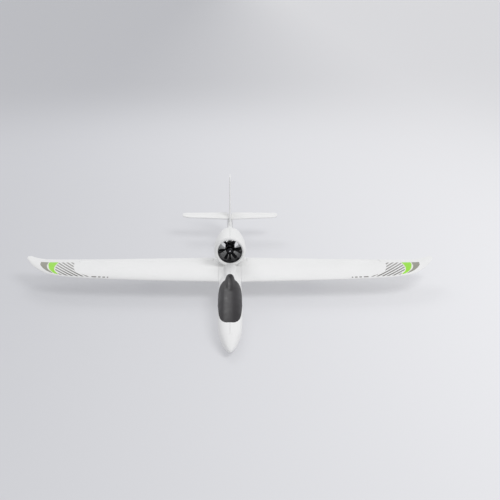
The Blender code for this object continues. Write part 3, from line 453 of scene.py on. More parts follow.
def foam_material(name, colour):
    """Expanded foam moulding: faint bead cells, fine skin texture, slight tone changes."""
    n = Nodes(name, colour, 0.55)
    cells = n.node("ShaderNodeTexVoronoi", Scale=330.0, feature="DISTANCE_TO_EDGE")
    n.link(n.place, cells.inputs["Vector"])
    wall = n.node("ShaderNodeMapRange")
    wall.inputs["From Max"].default_value = 0.16
    n.link(cells.outputs["Distance"], wall.inputs["Value"])
    tone = n.noise(9.0, 4.0)
    base = n.ramp(tone, [(0.3, shade(colour, 0.965)), (0.7, shade(colour, 1.0))])
    mix = n.node("ShaderNodeMix", data_type="RGBA", blend_type="MULTIPLY")
    mix.inputs["Factor"].default_value = 0.03
    n.link(base, mix.inputs["A"])
    n.link(wall.outputs["Result"], mix.inputs["B"])
    n.link(mix.outputs["Result"], n.shader.inputs["Base Color"])
    n.roughness(n.noise(140.0, 3.0), 0.48, 0.66)
    first = n.bump(wall.outputs["Result"], 0.06, 0.0001)
    n.bump(n.noise(1500.0, 2.0), 0.10, 0.0001, first)
    n.shader.inputs["Subsurface Weight"].default_value = 0.06
    n.shader.inputs["Subsurface Radius"].default_value = (0.004, 0.004, 0.004)
    return n.material


def plastic_material(name, colour, roughness, grain=900.0, strength=0.08, coat=0.0):
    """Moulded plastic: fine grain, slight tone change and uneven sheen."""
    n = Nodes(name, colour, roughness)
    n.colour(n.noise(35.0, 4.0), shade(colour, 0.86), shade(colour, 1.12))
    n.roughness(n.noise(60.0, 5.0), roughness * 0.85, min(1.0, roughness * 1.2))
    n.bump(n.noise(grain, 2.0), strength, 0.0001)
    n.shader.inputs["Specular IOR Level"].default_value = 0.38
    n.shader.inputs["Coat Weight"].default_value = coat
    n.shader.inputs["Coat Roughness"].default_value = 0.2
    return n.material


def metal_material(name, colour, roughness, direction):
    """Drawn or turned metal with fine lines along one direction."""
    n = Nodes(name, colour, roughness, 1.0)
    lines = n.noise(1.0, 4.0, place=n.stretched(direction))
    n.colour(lines, shade(colour, 0.85), shade(colour, 1.1))
    n.roughness(lines, roughness * 0.75, roughness * 1.35)
    n.bump(lines, 0.12, 0.00005)
    return n.material


def carbon_material(name):
    """Pultruded carbon: dark with fine lengthwise fibres under a thin resin skin."""
    n = Nodes(name, (0.02, 0.02, 0.022), 0.3)
    fibres = n.noise(1.0, 5.0, place=n.stretched((30, 2600, 2600)))
    n.colour(fibres, (0.010, 0.010, 0.011), (0.05, 0.05, 0.055))
    n.roughness(fibres, 0.22, 0.42)
    n.bump(fibres, 0.1, 0.00005)
    return n.material


def wood_material(name):
    """Thin birch plywood: pale bands of grain."""
    n = Nodes(name, (0.55, 0.38, 0.20), 0.7)
    grain = n.noise(1.0, 6.0, place=n.stretched((900, 60, 900)))
    n.colour(grain, (0.42, 0.27, 0.13), (0.66, 0.48, 0.28))
    n.roughness(grain, 0.6, 0.8)
    n.bump(grain, 0.2, 0.0001)
    return n.material


def strap_material(name):
    """Hook-and-loop strap: crossed ribs of a woven band."""
    n = Nodes(name, (0.02, 0.02, 0.02), 0.9)
    ribs = n.node("ShaderNodeTexWave", Scale=420.0, wave_type="BANDS", bands_direction="Y")
    n.link(n.place, ribs.inputs["Vector"])
    n.colour(ribs.outputs["Fac"], (0.008, 0.008, 0.008), (0.045, 0.045, 0.047))
    n.roughness(n.noise(400.0), 0.8, 1.0)
    n.bump(ribs.outputs["Fac"], 0.5, 0.0003)
    n.shader.inputs["Sheen Weight"].default_value = 0.3
    return n.material


def ink_material(name, colour):
    """Printed film decal: even colour with a faint mottle and a soft sheen."""
    n = Nodes(name, colour, 0.4)
    n.colour(n.noise(260.0, 4.0), shade(colour, 0.94), shade(colour, 1.05))
    n.roughness(n.noise(300.0), 0.36, 0.5)
    n.bump(n.noise(700.0), 0.05, 0.00005)
    return n.material


def fading_ink_material(name, front, rear):
    """Printed film whose grey gets lighter from the leading edge back."""
    n = Nodes(name, front, 0.4)
    place = n.node("ShaderNodeSeparateXYZ")
    n.link(n.place, place.inputs["Vector"])
    fade = n.node("ShaderNodeMapRange")
    fade.inputs["From Min"].default_value = -0.095
    fade.inputs["From Max"].default_value = -0.010
    n.link(place.outputs["Y"], fade.inputs["Value"])
    mottle = n.node("ShaderNodeMath", operation="MULTIPLY_ADD")
    mottle.inputs[1].default_value = 0.12
    n.link(n.noise(300.0, 4.0), mottle.inputs[0])
    n.link(fade.outputs["Result"], mottle.inputs[2])
    n.link(n.ramp(mottle.outputs["Value"], [(0.0, front), (1.0, rear)]), n.shader.inputs["Base Color"])
    n.roughness(n.noise(300.0), 0.36, 0.5)
    return n.material


FOAM = foam_material("white_foam_skin", (0.86, 0.86, 0.85))
HATCH = plastic_material("satin_black_hatch", (0.017, 0.015, 0.017), 0.40, 700.0, 0.08, 0.0)
TUBE_FILM = plastic_material("thrust_tube_film", (0.46, 0.47, 0.47), 0.4)
SPINNER_BLACK = metal_material("spun_black_spinner", (0.03, 0.03, 0.033), 0.32, (300, 300, 300))
MOTOR_CAN = metal_material("motor_can_metal", (0.35, 0.35, 0.37), 0.3, (900, 60, 900))
RED_LEAD = plastic_material("red_lead_sleeve", (0.42, 0.03, 0.02), 0.4)
BROWN_LEAD = plastic_material("brown_lead_sleeve", (0.16, 0.06, 0.03), 0.4)
BLACK = plastic_material("black_moulded_plastic", (0.017, 0.017, 0.019), 0.36)
GREY = plastic_material("grey_moulded_plastic", (0.30, 0.31, 0.32), 0.5)
WHITE_PLASTIC = plastic_material("white_moulded_plastic", (0.80, 0.80, 0.79), 0.4)
SERVO = plastic_material("blue_servo_case", (0.02, 0.07, 0.36), 0.3, 500.0, 0.05, 0.4)
WRAP = plastic_material("battery_shrink_wrap", (0.04, 0.05, 0.22), 0.3, 120.0, 0.3, 0.5)
STEEL = metal_material("spring_steel", (0.62, 0.62, 0.64), 0.3, (1800, 60, 1800))
MAGNET = metal_material("nickel_plate", (0.70, 0.69, 0.66), 0.2, (400, 400, 400))
CARBON = carbon_material("carbon_rod")
PLY = wood_material("birch_ply")
STRAP = strap_material("hook_and_loop_strap")
GREEN_INK = ink_material("lime_film", (0.31, 0.75, 0.03))
PALE_INK = ink_material("pale_film_edge", (0.78, 0.86, 0.55))
OLIVE_INK = ink_material("grey_olive_film", (0.30, 0.30, 0.24))
STRIPE_INK = fading_ink_material("grey_stripe_film", (0.17, 0.165, 0.15), (0.36, 0.35, 0.33))


# ================================================================ fuselage and hatch
def parting_wall(offset):
    first, last = PARTING[0][0], PARTING[-1][0]
    samples = 60
    line = [PARTING_FRONT_TOP]
    for i in range(samples + 1):
        y = first + (last - first) * (i / samples) ** 1.4
        line.append((y, blend(PARTING, y)))
    line.append((last + 10, PARTING[-1][1] + 8))
    moved = []
    for i, (y, z) in enumerate(line):
        before = line[max(i - 1, 0)]
        after = line[min(i + 1, len(line) - 1)]
        dy, dz = after[0] - before[0], after[1] - before[1]
        length = math.hypot(dy, dz)
        moved.append((y - dz / length * offset, z + dy / length * offset))
    top = 120.0
    moved.append((moved[-1][0], top))
    moved.append((moved[0][0], top))
    return side_prism(moved, -60, 60)


def hatch_plan(offset):
    """Prism round the hatch seen from above, moved inwards by offset."""
    side = []
    for i, (x, y) in enumerate(HATCH_FRONT):
        before = HATCH_FRONT[max(i - 1, 0)]
        after = HATCH_FRONT[min(i + 1, len(HATCH_FRONT) - 1)]
        dx, dy = (after[0] - before[0], after[1] - before[1]) if i else (1.0, 0.0)
        length = math.hypot(dx, dy)
        side.append((x - dy / length * offset, y + dx / length * offset))
    side.append((60.0, -228.0))
    side.append((60.0, -90.0))
    outline = side + [(-x, y) for x, y in reversed(side[1:])]
    return plan_prism(outline, 20, 120)


def hatch_region(offset):
    """Space that the hatch takes up, shrunk by offset at the parting surface."""
    return keep_inside(parting_wall(offset), hatch_plan(offset))


def airfoil(x, u, side):
    """Point of the wing surface at span x and chord fraction u; side is 1 above, -1 below."""
    span = abs(x)
    lead, trail = blend(LEADING, span), blend(TRAILING, span)
    chord = trail - lead
    thick = blend(THICKNESS, span)
    shape = (0.2969 * math.sqrt(u) - 0.126 * u - 0.3516 * u ** 2 + 0.2843 * u ** 3
             - 0.1036 * u ** 4)
    half = 5 * thick * shape * chord + TRAILING_EDGE_HALF * u
    line = blend(LEADING_Z, span) * (1 - u) + blend(TRAILING_Z, span) * u
    centre = line + 4 * CAMBER * u * (1 - u) * chord
    return Vector((x, lead + u * chord, centre + side * half))


def wing_ring(x, steps=30):
    upper = [airfoil(x, (i / steps) ** 1.7, 1) for i in range(steps, 0, -1)]
    lower = [airfoil(x, (i / steps) ** 1.7, -1) for i in range(steps + 1)]
    return upper + lower


def spine_ring(y):
    """Raised spine with hollow flanks that run out into the wing."""
    half_width = blend([(row[0], row[1]) for row in SPINE], y)
    top = blend([(row[0], row[2]) for row in SPINE], y)
    steps = 24
    ring = []
    for i in range(steps + 1):
        angle = math.pi * i / steps
        c, s = math.cos(angle), math.sin(angle)
        x = half_width * math.copysign(abs(c) ** 0.85, c)
        ring.append((x, y, SPINE_BASE_Z + (top - SPINE_BASE_Z) * s ** 0.6))
    return ring


def rod_groove(line, low_x, high_x):
    """Channel in the side of the boom that follows a pushrod."""
    half = 1.9
    start_y, end_y = 236.0, 346.0
    slope = (line[1].z - line[0].z) / (line[1].y - line[0].y)
    z_start = line[0].z + slope * (start_y - line[0].y)
    z_end = line[0].z + slope * (end_y - line[0].y)
    outline = [(start_y, z_start - half), (end_y, z_end - half),
               (end_y, z_end + half), (start_y, z_start + half)]
    return side_prism(outline, low_x, high_x)


def magnet_axis():
    y, reach = -150.0, 4.0
    low, high = blend(PARTING, y - reach), blend(PARTING, y + reach)
    slope = math.atan2(high - low, 2 * reach)
    return Axis((0, y, blend(PARTING, y)), (0, -math.sin(slope), math.cos(slope)))


def pod_cutter():
    profile = [(-1.0, 35.0)] + [(s, blend(POD_OUTER, s) + SEAM) for s in spread(0, 131, 40)]
    return turned(FAN_AXIS, profile + [(139, 33.0)], 96)


def fuselage_block():
    """Outer skin of fuselage, wing centre and spine, melted together."""
    skin = loft([body_ring(BODY, y, BODY_POWER, 72) for y in spread(NOSE_SEAM_Y - 6, BOOM_END_Y + 5, 110)])
    root = wing_ring(0)
    centre = loft([[(x, p.y, p.z) for p in root] for x in spread(-STUB_X - 5, STUB_X + 5, 9)])
    skin = add(skin, centre)
    skin = add(skin, loft([spine_ring(y) for y in spread(-235, 140, 60)]))
    skin = melted(skin, 1.5, 14)
    trim = block((-STUB_X, NOSE_SEAM_Y + SEAM / 2, -10), (STUB_X, BOOM_END_Y, 120))
    sides = block((-60, NOSE_SEAM_Y + SEAM / 2, -10), (60, -121.5, 120))
    return keep_inside(skin, add(trim, sides))


def build_fuselage():
    skin = fuselage_block()
    skin = add(skin, block((-5.4, 316.0, 60.0), (5.4, BOOM_END_Y, STAB_Z - STAB_HALF_THICK - SEAM)))
    skin = cut(skin, loft([body_ring(CAVITY, y, CAVITY_POWER, 40) for y in spread(-376, 238, 46)]))
    hatch = keep_inside(copy_of(skin), hatch_region(0.2))
    body = cut(skin, hatch_region(-0.2))
    body = cut(body, pod_cutter())
    body = cut(body, tube_along(((-60, SPAR_Y, SPAR_Z), (60, SPAR_Y, SPAR_Z)), SPAR_R + SEAM, 32))
    body = cut(body, tube_along(((-60, PIN_Y, PIN_Z), (60, PIN_Y, PIN_Z)), PIN_R + SEAM, 24))
    body = cut(body, rod_groove(ELEVATOR_ROD, -16.0, -4.2))
    body = cut(body, rod_groove(RUDDER_ROD, 4.2, 16.0))
    magnets = magnet_axis()
    body = cut(body, turned(magnets, [(-3.4, 4.3), (4, 4.3)], 32))
    hatch = cut(hatch, turned(magnets, [(-4, 4.3), (3.4, 4.3)], 32))

    left = keep_inside(copy_of(body), block((SEAM / 2, -500, -20), (80, 500, 150)))
    right = keep_inside(body, block((-80, -500, -20), (-SEAM / 2, 500, 150)))
    piece(left, "fuselage_left_skin", "airframe", FOAM, ["fuselage_left_half"])
    piece(right, "fuselage_right_skin", "airframe", FOAM, ["fuselage_right_half"])
    piece(finger_scoop(hatch), "hatch_skin", "canopy", HATCH, ["canopy_hatch"])
    magnet = turned(magnets, [(-3.1, 3.7), (-2.8, 4.0), (-0.7, 4.0), (-0.4, 3.7)], 40)
    piece(magnet, "fuselage_magnet_disc", "airframe", MAGNET, ["fuselage_magnet"])
    magnet = turned(magnets, [(0.4, 3.7), (0.7, 4.0), (2.8, 4.0), (3.1, 3.7)], 40)
    piece(magnet, "hatch_magnet_disc", "canopy", MAGNET, ["canopy_magnet"])


def finger_scoop(hatch):
    """Small V-shaped dent near the hatch's rear point, for a fingernail."""
    y, z = -141.0, 79.6
    outline = [(-2.6, y - 1.5), (0, y - 5.0), (2.6, y - 1.5), (2.0, y + 0.5), (0, y - 1.6), (-2.0, y + 0.5)]
    return cut(hatch, plan_prism(outline, z - 3.0, z + 6.0))


def build_nose_cap():
    end = NOSE_SEAM_Y - SEAM / 2
    rings = [[(0.3 * math.cos(a), NOSE_Y, 18 + 0.3 * math.sin(a))
              for a in [2 * math.pi * (i + 0.5) / 72 for i in range(72)]]]
    rings += [body_ring(BODY, NOSE_Y + (end - NOSE_Y) * (i / 30) ** 2, BODY_POWER, 72)
              for i in range(1, 31)]
    piece(loft(rings), "nose_cap_skin", "airframe", FOAM, ["nose_cap"])


# ================================================================ wings
def aileron_hinge(x):
    ends = []
    for span in (AILERON_IN_X, AILERON_OUT_X):
        ends.append((airfoil(span, HINGE_CHORD, 1) + airfoil(span, HINGE_CHORD, -1)) / 2)
    t = (abs(x) - AILERON_IN_X) / (AILERON_OUT_X - AILERON_IN_X)
    point = ends[0].lerp(ends[1], t)
    return Vector((math.copysign(point.x, x), point.y, point.z))


def aileron_radius(x):
    half = (airfoil(x, HINGE_CHORD, 1).z - airfoil(x, HINGE_CHORD, -1).z) / 2
    return half - 0.25


def aileron_ring(x):
    centre, radius = aileron_hinge(x), aileron_radius(x)
    ring = []
    for i in range(17):
        angle = math.pi / 2 + math.pi * i / 16
        ring.append((x, centre.y + radius * math.cos(angle), centre.z + radius * math.sin(angle)))
    fractions = spread(0.78, 1.0, 8)
    ring += [tuple(airfoil(x, u, -1)) for u in fractions]
    ring += [tuple(airfoil(x, u, 1)) for u in reversed(fractions)]
    return ring


def wing_stations():
    """Spanwise stations, closer together towards the curved tip."""
    inner = spread(WING_ROOT_X, 430, 34)
    outer = [430 + (HALF_SPAN - 430) * math.sin(math.pi / 2 * i / 40) for i in range(1, 41)]
    return inner + outer


def build_wing():
    wing = loft([wing_ring(x) for x in wing_stations()])
    slot = []
    for x in (AILERON_IN_X - JOINT_GAP, AILERON_OUT_X + JOINT_GAP):
        slot.append((x, aileron_hinge(x).y - aileron_radius(x) - JOINT_GAP))
    slot += [(slot[1][0], 90), (slot[0][0], 90)]
    wing = cut(wing, plan_prism(slot, 30, 90))
    wing = cut(wing, tube_along(((0, SPAR_Y, SPAR_Z), (SPAR_HALF + 2, SPAR_Y, SPAR_Z)), SPAR_R + SEAM, 32))
    wing = cut(wing, tube_along(((0, PIN_Y, PIN_Z), (PIN_HALF + 2, PIN_Y, PIN_Z)), PIN_R + SEAM, 24))
    low = (AILERON_LINK_X - 4, AILERON_SERVO_Y - 11.2, 30.0)
    high = (AILERON_LINK_X + 30, AILERON_SERVO_Y + 22.2, AILERON_SERVO_Z + 7.0)
    wing = cut(wing, block(low, high))
    piece(mirrored(wing), "wing_right_skin", "airframe", FOAM, ["wing_right"])
    piece(wing, "wing_left_skin", "airframe", FOAM, ["wing_left"])
    aileron = loft([aileron_ring(x) for x in spread(AILERON_IN_X, AILERON_OUT_X, 40)])
    piece(mirrored(aileron), "right_aileron_skin", "right_aileron_surface", FOAM,
          ["right_aileron"])
    piece(aileron, "left_aileron_skin", "left_aileron_surface", FOAM,
          ["left_aileron"])


# ================================================================ tip graphics
def wing_top(x, y):
    """Point a hair above the wing's upper surface at plan position x, y."""
    lead, trail = blend(LEADING, abs(x)), blend(TRAILING, abs(x))
    u = min(max((y - lead) / (trail - lead), 0.002), 0.998)
    point = airfoil(x, u, 1)
    return (point.x, point.y, point.z + 0.12)


# Films on the right wing tip: edges as plan x, y points from the rear to the front
BLOCK_OUTER = [(-536.0, -11.8), (-533.0, -31.0), (-524.0, -49.0), (-512.5, -64.0), (-498.5, -76.5),
               (-486.0, -84.0)]
BLOCK_INNER = [(-514.0, -11.8), (-513.0, -37.0), (-506.5, -59.0), (-495.0, -74.5), (-486.0, -84.0)]
LIME_OUTER = [(-512.0, -11.0), (-510.5, -30.0), (-506.5, -46.0), (-501.0, -62.0), (-490.5, -77.0),
              (-480.0, -85.5), (-470.0, -89.5)]
LIME_INNER = [(-485.5, -11.0), (-487.5, -30.0), (-488.5, -52.0), (-484.0, -72.0), (-476.0, -83.0),
              (-470.0, -89.5)]
STRIPES_INNER = [(-439.0, -13.2), (-438.0, -35.0), (-432.0, -65.0), (-421.0, -84.0), (-405.0, -93.5),
                 (-391.0, -100.0), (-384.0, -103.0)]
STRIPE_REAR_Y, STRIPE_FRONT_MARGIN = -13.2, 2.2
STRIPE_FALL, STRIPE_PITCH, STRIPE_WIDTH = 0.42, 5.5, 2.7
SIGHT_Y, SIGHT_Z = 0.375, 0.927      # stripes look straight from this low angle ahead
DASHES = [(-377.0, -364.0), (-359.0, -352.0), (-347.0, -340.0), (-335.0, -331.0)]
DASH_FRONT, DASH_REAR = 1.6, 4.4     # distances behind the leading edge
EDGE_FILM = 2.4


def edge_x(points, y):
    return blend(sorted((-b, a) for a, b in points), -y)


def flip_side(obj, side):
    """Mirror a film patch made for the right wing if it belongs on the left one."""
    if side > 0:
        obj.data.transform(Matrix.Scale(-1, 4, Vector((1, 0, 0))))
        obj.data.flip_normals()
    return obj


def row_patch(rows, columns=10):
    """Patch from rows of (y, first x, last x); a row without width ends the patch there."""
    bm = bmesh.new()
    previous = None
    for y, first, last in rows:
        if last - first < 0.05:
            previous = None
            continue
        line = [bm.verts.new(Vector(wing_top(first + (last - first) * k / columns, y)) * MM)
                for k in range(columns + 1)]
        if previous:
            for k in range(columns):
                bm.faces.new((previous[k], previous[k + 1], line[k + 1], line[k]))
        previous = line
    return make_object(bm)


def between(outer, inner, rear, front, step=1.5, grow=0.0):
    rows = []
    count = max(2, int((rear - front) / step))
    for y in spread(rear, front, count):
        rows.append((y, edge_x(outer, y) - grow, edge_x(inner, y) + grow))
    return row_patch(rows)


def joined(objects):
    """Put several patches into one mesh."""
    bm = bmesh.new()
    for obj in objects:
        bm.from_mesh(obj.data)
        bpy.data.objects.remove(obj)
    mesh = bpy.data.meshes.new("joined")
    bm.to_mesh(mesh)
    bm.free()
    obj = bpy.data.objects.new("joined", mesh)
    bpy.context.scene.collection.objects.link(obj)
    return obj


def stripe_x(level, y):
    """Span position where the stripe of this level crosses the row at y."""
    x = -450.0
    for _ in range(5):
        seen = SIGHT_Y * y + SIGHT_Z * wing_top(x, y)[2]
        x = min(max((level - seen) / STRIPE_FALL, -530.0), -360.0)
    return x


def stripe_rows(level):
    lime_tip = LIME_INNER[-1]
    rows = []
    for y in spread(STRIPE_REAR_Y, -103.0, 90):
        left = edge_x(LIME_INNER, y) + EDGE_FILM
        if y < lime_tip[1]:
            left = lime_tip[0] + 3.0 * (lime_tip[1] - y)
        while blend(LEADING, -left) > y - STRIPE_FRONT_MARGIN and left < -380:
            left += 0.5
        right = edge_x(STRIPES_INNER, y)
        start = stripe_x(level, y)
        end = stripe_x(level + STRIPE_WIDTH, y)
        rows.append((y, max(start, left), min(end, right)))
    return rows


def dash(first, last):
    """Short mark that runs along just behind the leading edge."""
    bm = bmesh.new()
    grid = []
    for x in spread(first, last, 6):
        lead = blend(LEADING, -x)
        rows = [lead + DASH_FRONT + (DASH_REAR - DASH_FRONT) * k / 3 for k in range(4)]
        grid.append([bm.verts.new(Vector(wing_top(x, y)) * MM) for y in rows])
    for a, b in zip(grid, grid[1:]):
        for k in range(3):
            bm.faces.new((a[k], b[k], b[k + 1], a[k + 1]))
    return make_object(bm)


def build_tip_graphics():
    first_level = -178.0
    levels = [first_level + STRIPE_PITCH * i for i in range(11)]
    lift = Matrix.Translation((0, 0, 0.06 * MM))
    for side, name in ((-1, "right"), (1, "left")):
        shape = between(BLOCK_OUTER, BLOCK_INNER, -11.8, -83.8)
        piece(flip_side(shape, side), name + "_tip_block_film", "airframe", OLIVE_INK)
        pale = between(LIME_OUTER, LIME_INNER, -11.0, -89.2, grow=EDGE_FILM * 0.5)
        piece(flip_side(pale, side), name + "_tip_pale_film", "airframe", PALE_INK)
        lime = between(LIME_OUTER, LIME_INNER, -12.0, -88.4, grow=-0.5)
        lime.data.transform(lift)
        piece(flip_side(lime, side), name + "_tip_lime_film", "airframe", GREEN_INK)
        marks = [row_patch(stripe_rows(level), 4) for level in levels]
        marks += [dash(start, end) for start, end in DASHES]
        piece(flip_side(joined(marks), side), name + "_tip_stripe_film", "airframe", STRIPE_INK)


# ================================================================ tail
def flat_ring(x, lead_y, hinge_y, half, z):
    nose = [(x, lead_y + half * (1 - math.sin(a)) * 1.6, z + half * math.cos(a))
            for a in [math.pi * i / 16 for i in range(17)]]
    return nose + [(x, hinge_y, z - half), (x, hinge_y, z + half)]


def tip_spread(start, end, count):
    """Stations that crowd towards the tip, where the outline rounds off."""
    return [start + (end - start) * math.sin(math.pi / 2 * i / (count - 1)) for i in range(count)]


def build_stabilizer():
    rings = []
    rear = ELEVATOR_HINGE_Y - STAB_HALF_THICK - JOINT_GAP
    stations = tip_spread(0, STAB_HALF, 40)
    for x in [-s for s in reversed(stations[1:])] + stations:
        reach = abs(x) / STAB_HALF
        lead = STAB_LE_Y + (STAB_TIP_LE_Y - STAB_LE_Y) * reach + 12 * (max(0, reach - 0.85) / 0.15) ** 2
        half = STAB_HALF_THICK + (STAB_TIP_HALF_THICK - STAB_HALF_THICK) * reach
        half *= 1 - 0.45 * (max(0, reach - 0.97) / 0.03) ** 2
        rings.append(flat_ring(x, lead, rear, half, STAB_Z))
    stabilizer = loft(rings)
    stabilizer = cut(stabilizer, block((-121, 338, STAB_Z - 5), (121, 341.8, STAB_Z - 0.2)))
    piece(stabilizer, "stabilizer_skin", "airframe", FOAM, ["horizontal_stabilizer"])


def elevator_ring(x):
    reach = x / STAB_HALF
    radius = STAB_HALF_THICK + (STAB_TIP_HALF_THICK - STAB_HALF_THICK) * reach - 0.2
    radius *= 1 - 0.35 * (max(0, reach - 0.97) / 0.03) ** 2
    trail = ELEVATOR_TE_Y + (ELEVATOR_TIP_TE_Y - ELEVATOR_TE_Y) * reach
    trail -= 8 * (max(0, reach - 0.93) / 0.07) ** 2
    ring = []
    for i in range(17):
        angle = math.pi / 2 + math.pi * i / 16
        ring.append((x, ELEVATOR_HINGE_Y + radius * math.cos(angle), STAB_Z + radius * math.sin(angle)))
    return ring + [(x, trail - 0.4, STAB_Z - 0.7), (x, trail, STAB_Z - 0.3),
                   (x, trail, STAB_Z + 0.3), (x, trail - 0.4, STAB_Z + 0.7)]


def build_elevator():
    half = loft([elevator_ring(x) for x in tip_spread(ELEVATOR_INNER_X, STAB_HALF, 34)])
    bore = tube_along(((0, ELEVATOR_HINGE_Y, STAB_Z), (24, ELEVATOR_HINGE_Y, STAB_Z)), 1.3, 20)
    half = cut(half, bore)
    piece(mirrored(half), "elevator_right_skin", "elevator_surfaces", FOAM,
          ["elevator_right_half"])
    piece(half, "elevator_left_skin", "elevator_surfaces", FOAM,
          ["elevator_left_half"])


def fin_ring(z):
    lead = blend(FIN_LEADING, z)
    rear = RUDDER_HINGE_Y - blend(RUDDER_RADIUS, z) - JOINT_GAP
    half = FIN_HALF_THICK - 1.2 * (z - FIN_FOOT_Z) / (FIN_TOP - FIN_FOOT_Z)
    depth = rear - lead
    right = []
    for i in range(17):
        u = (i / 16) ** 2
        width = blend([(0.0, 0.0), (0.2, 0.45), (0.4, 0.8), (0.63, 1.0), (1.0, 0.92)], math.sqrt(u))
        right.append((u, width))
    ring = [(half * w, lead + u * depth, z) for u, w in right]
    return ring + [(-x, y, z) for x, y, z in reversed(ring[1:])]


def build_fin():
    fin = loft([fin_ring(z) for z in spread(FIN_FOOT_Z, FIN_TOP, 54)])
    fin = cut(fin, block((-20, 315.5, 50), (20, 420, STAB_Z + STAB_HALF_THICK + SEAM)))
    piece(bevelled(fin, 0.8, 3, 60), "fin_skin", "airframe", FOAM, ["vertical_fin"])


def rudder_ring(z):
    radius, trail = blend(RUDDER_RADIUS, z), blend(RUDDER_TRAILING, z)
    ring = []
    for i in range(17):
        angle = math.pi + math.pi * i / 16
        ring.append((radius * math.cos(angle), RUDDER_HINGE_Y + radius * math.sin(angle), z))
    return ring + [(0.7, trail - 0.6, z), (0.3, trail, z), (-0.3, trail, z), (-0.7, trail - 0.6, z)]


def build_rudder():
    rudder = loft([rudder_ring(z) for z in spread(RUDDER_LOW_Z, FIN_TOP, 60)])
    piece(bevelled(rudder, 0.6, 3, 60), "rudder_skin", "rudder_surface", FOAM, ["rudder"])


# ================================================================ fan pod
def lip_profile():
    """Outline of the pod wall: round lip, swelling outside, straight duct inside."""
    outer = []
    for i in range(13):
        angle = math.pi / 2 * i / 12
        outer.append((16 * (1 - math.cos(angle)), 37.6 + 6.0 * math.sin(angle)))
    outer += [(s, blend(POD_OUTER, s)) for s in spread(20, 130.4, 34)]
    rim = [(131.0, 33.2), (131.0, 32.6), (130.4, 32.2)]
    inner = [(100, 33.6), (64, 35.9), (6.3, 35.9)]
    lip = []
    for i in range(9):
        angle = math.pi / 2 * i / 9
        lip.append((6.1 * (1 - math.sin(angle)), 37.6 - 4.1 * math.cos(angle)))
    return outer + rim + inner + lip


def build_pod():
    outline = lip_profile()
    for name, start, side, node in (
            ("pod_left_skin", -math.pi / 2, 1, "nacelle_left_shell"),
            ("pod_right_skin", math.pi / 2, -1, "nacelle_right_shell")):
        half = turned_half(FAN_AXIS, outline, 56, start, side * SEAM / 2)
        piece(half, name, "airframe", FOAM, [node])

    outline = [(6.7, 32.9), (6.5, 33.6), (6.5, 35.3), (6.8, 35.5), (60, 35.5), (60, 32.25), (12, 32.25),
               (8.5, 32.5)]
    housing = turned_ring(FAN_AXIS, outline, 110)
    tube = turned_ring(FAN_AXIS, [(39, 11.7), (39, 13.0), (39.3, 13.2), (59, 13.2), (59, 11.7)], 62)
    for degrees, thickness in ((90.0, 1.6), (210.0, 1.6), (330.0, 1.6), (270.0, 5.0)):
        housing = add(housing, vane(degrees, thickness))
    housing = add(housing, tube)
    piece(housing, "fan_housing_moulding", "airframe", BLACK, ["fan_housing"])

    wall = [(64.5 + 65.5 * i / 20, blend([(64.5, 34.6), (98, 32.6), (130, 31.6)], 64.5 + 65.5 * i / 20))
            for i in range(21)]
    outline = wall + [(s, r - 0.8) for s, r in reversed(wall)]
    piece(turned_ring(FAN_AXIS, outline, 96), "thrust_tube_sleeve", "airframe", TUBE_FILM,
          ["thrust_tube"])


def vane(degrees, thickness):
    angle = math.radians(degrees)
    outward = FAN_AXIS.side * math.cos(angle) + FAN_AXIS.up * math.sin(angle)
    across = outward.cross(FAN_AXIS.direction).normalized() * thickness / 2
    section = [(41.0, 0.0), (41.4, 0.45), (42.6, 0.85), (45.0, 1.0), (51.0, 1.0), (57.0, 0.8)]
    section += [(s, -w) for s, w in reversed(section[1:])]
    rings = []
    for radius in (12.6, 32.9):
        base = FAN_AXIS.origin + outward * radius
        rings.append([base + FAN_AXIS.direction * s + across * w for s, w in section])
    return loft(rings)


def blade(index):
    """Twisted, swept blade with a round nose and a thin tail."""
    turn = 2 * math.pi * index / BLADE_COUNT
    middle = (ROTOR_START + ROTOR_END) / 2
    rings = []
    for t in spread(0.0, 1.0, 15):
        radius = HUB_R - 1.0 + (BLADE_TIP_R - HUB_R + 1.0) * t
        pitch = math.radians(56.0 - 20.0 * t)
        half = 5.5 * (1 - 0.25 * max(0.0, t - 0.85) / 0.15)
        ring = []
        for i in range(24):
            a = 2 * math.pi * i / 24
            c = -math.cos(a)
            w = 0.62 * math.sin(a) * (1 - 0.45 * c) + 0.5 * (1 - c * c)
            w -= 0.25
            across = half * c * math.cos(pitch) - w * math.sin(pitch)
            along = half * c * math.sin(pitch) + w * math.cos(pitch)
            ring.append(FAN_AXIS.point(middle + along, radius, turn + 0.10 * t * t + across / radius))
        rings.append(ring)
    return loft(rings)


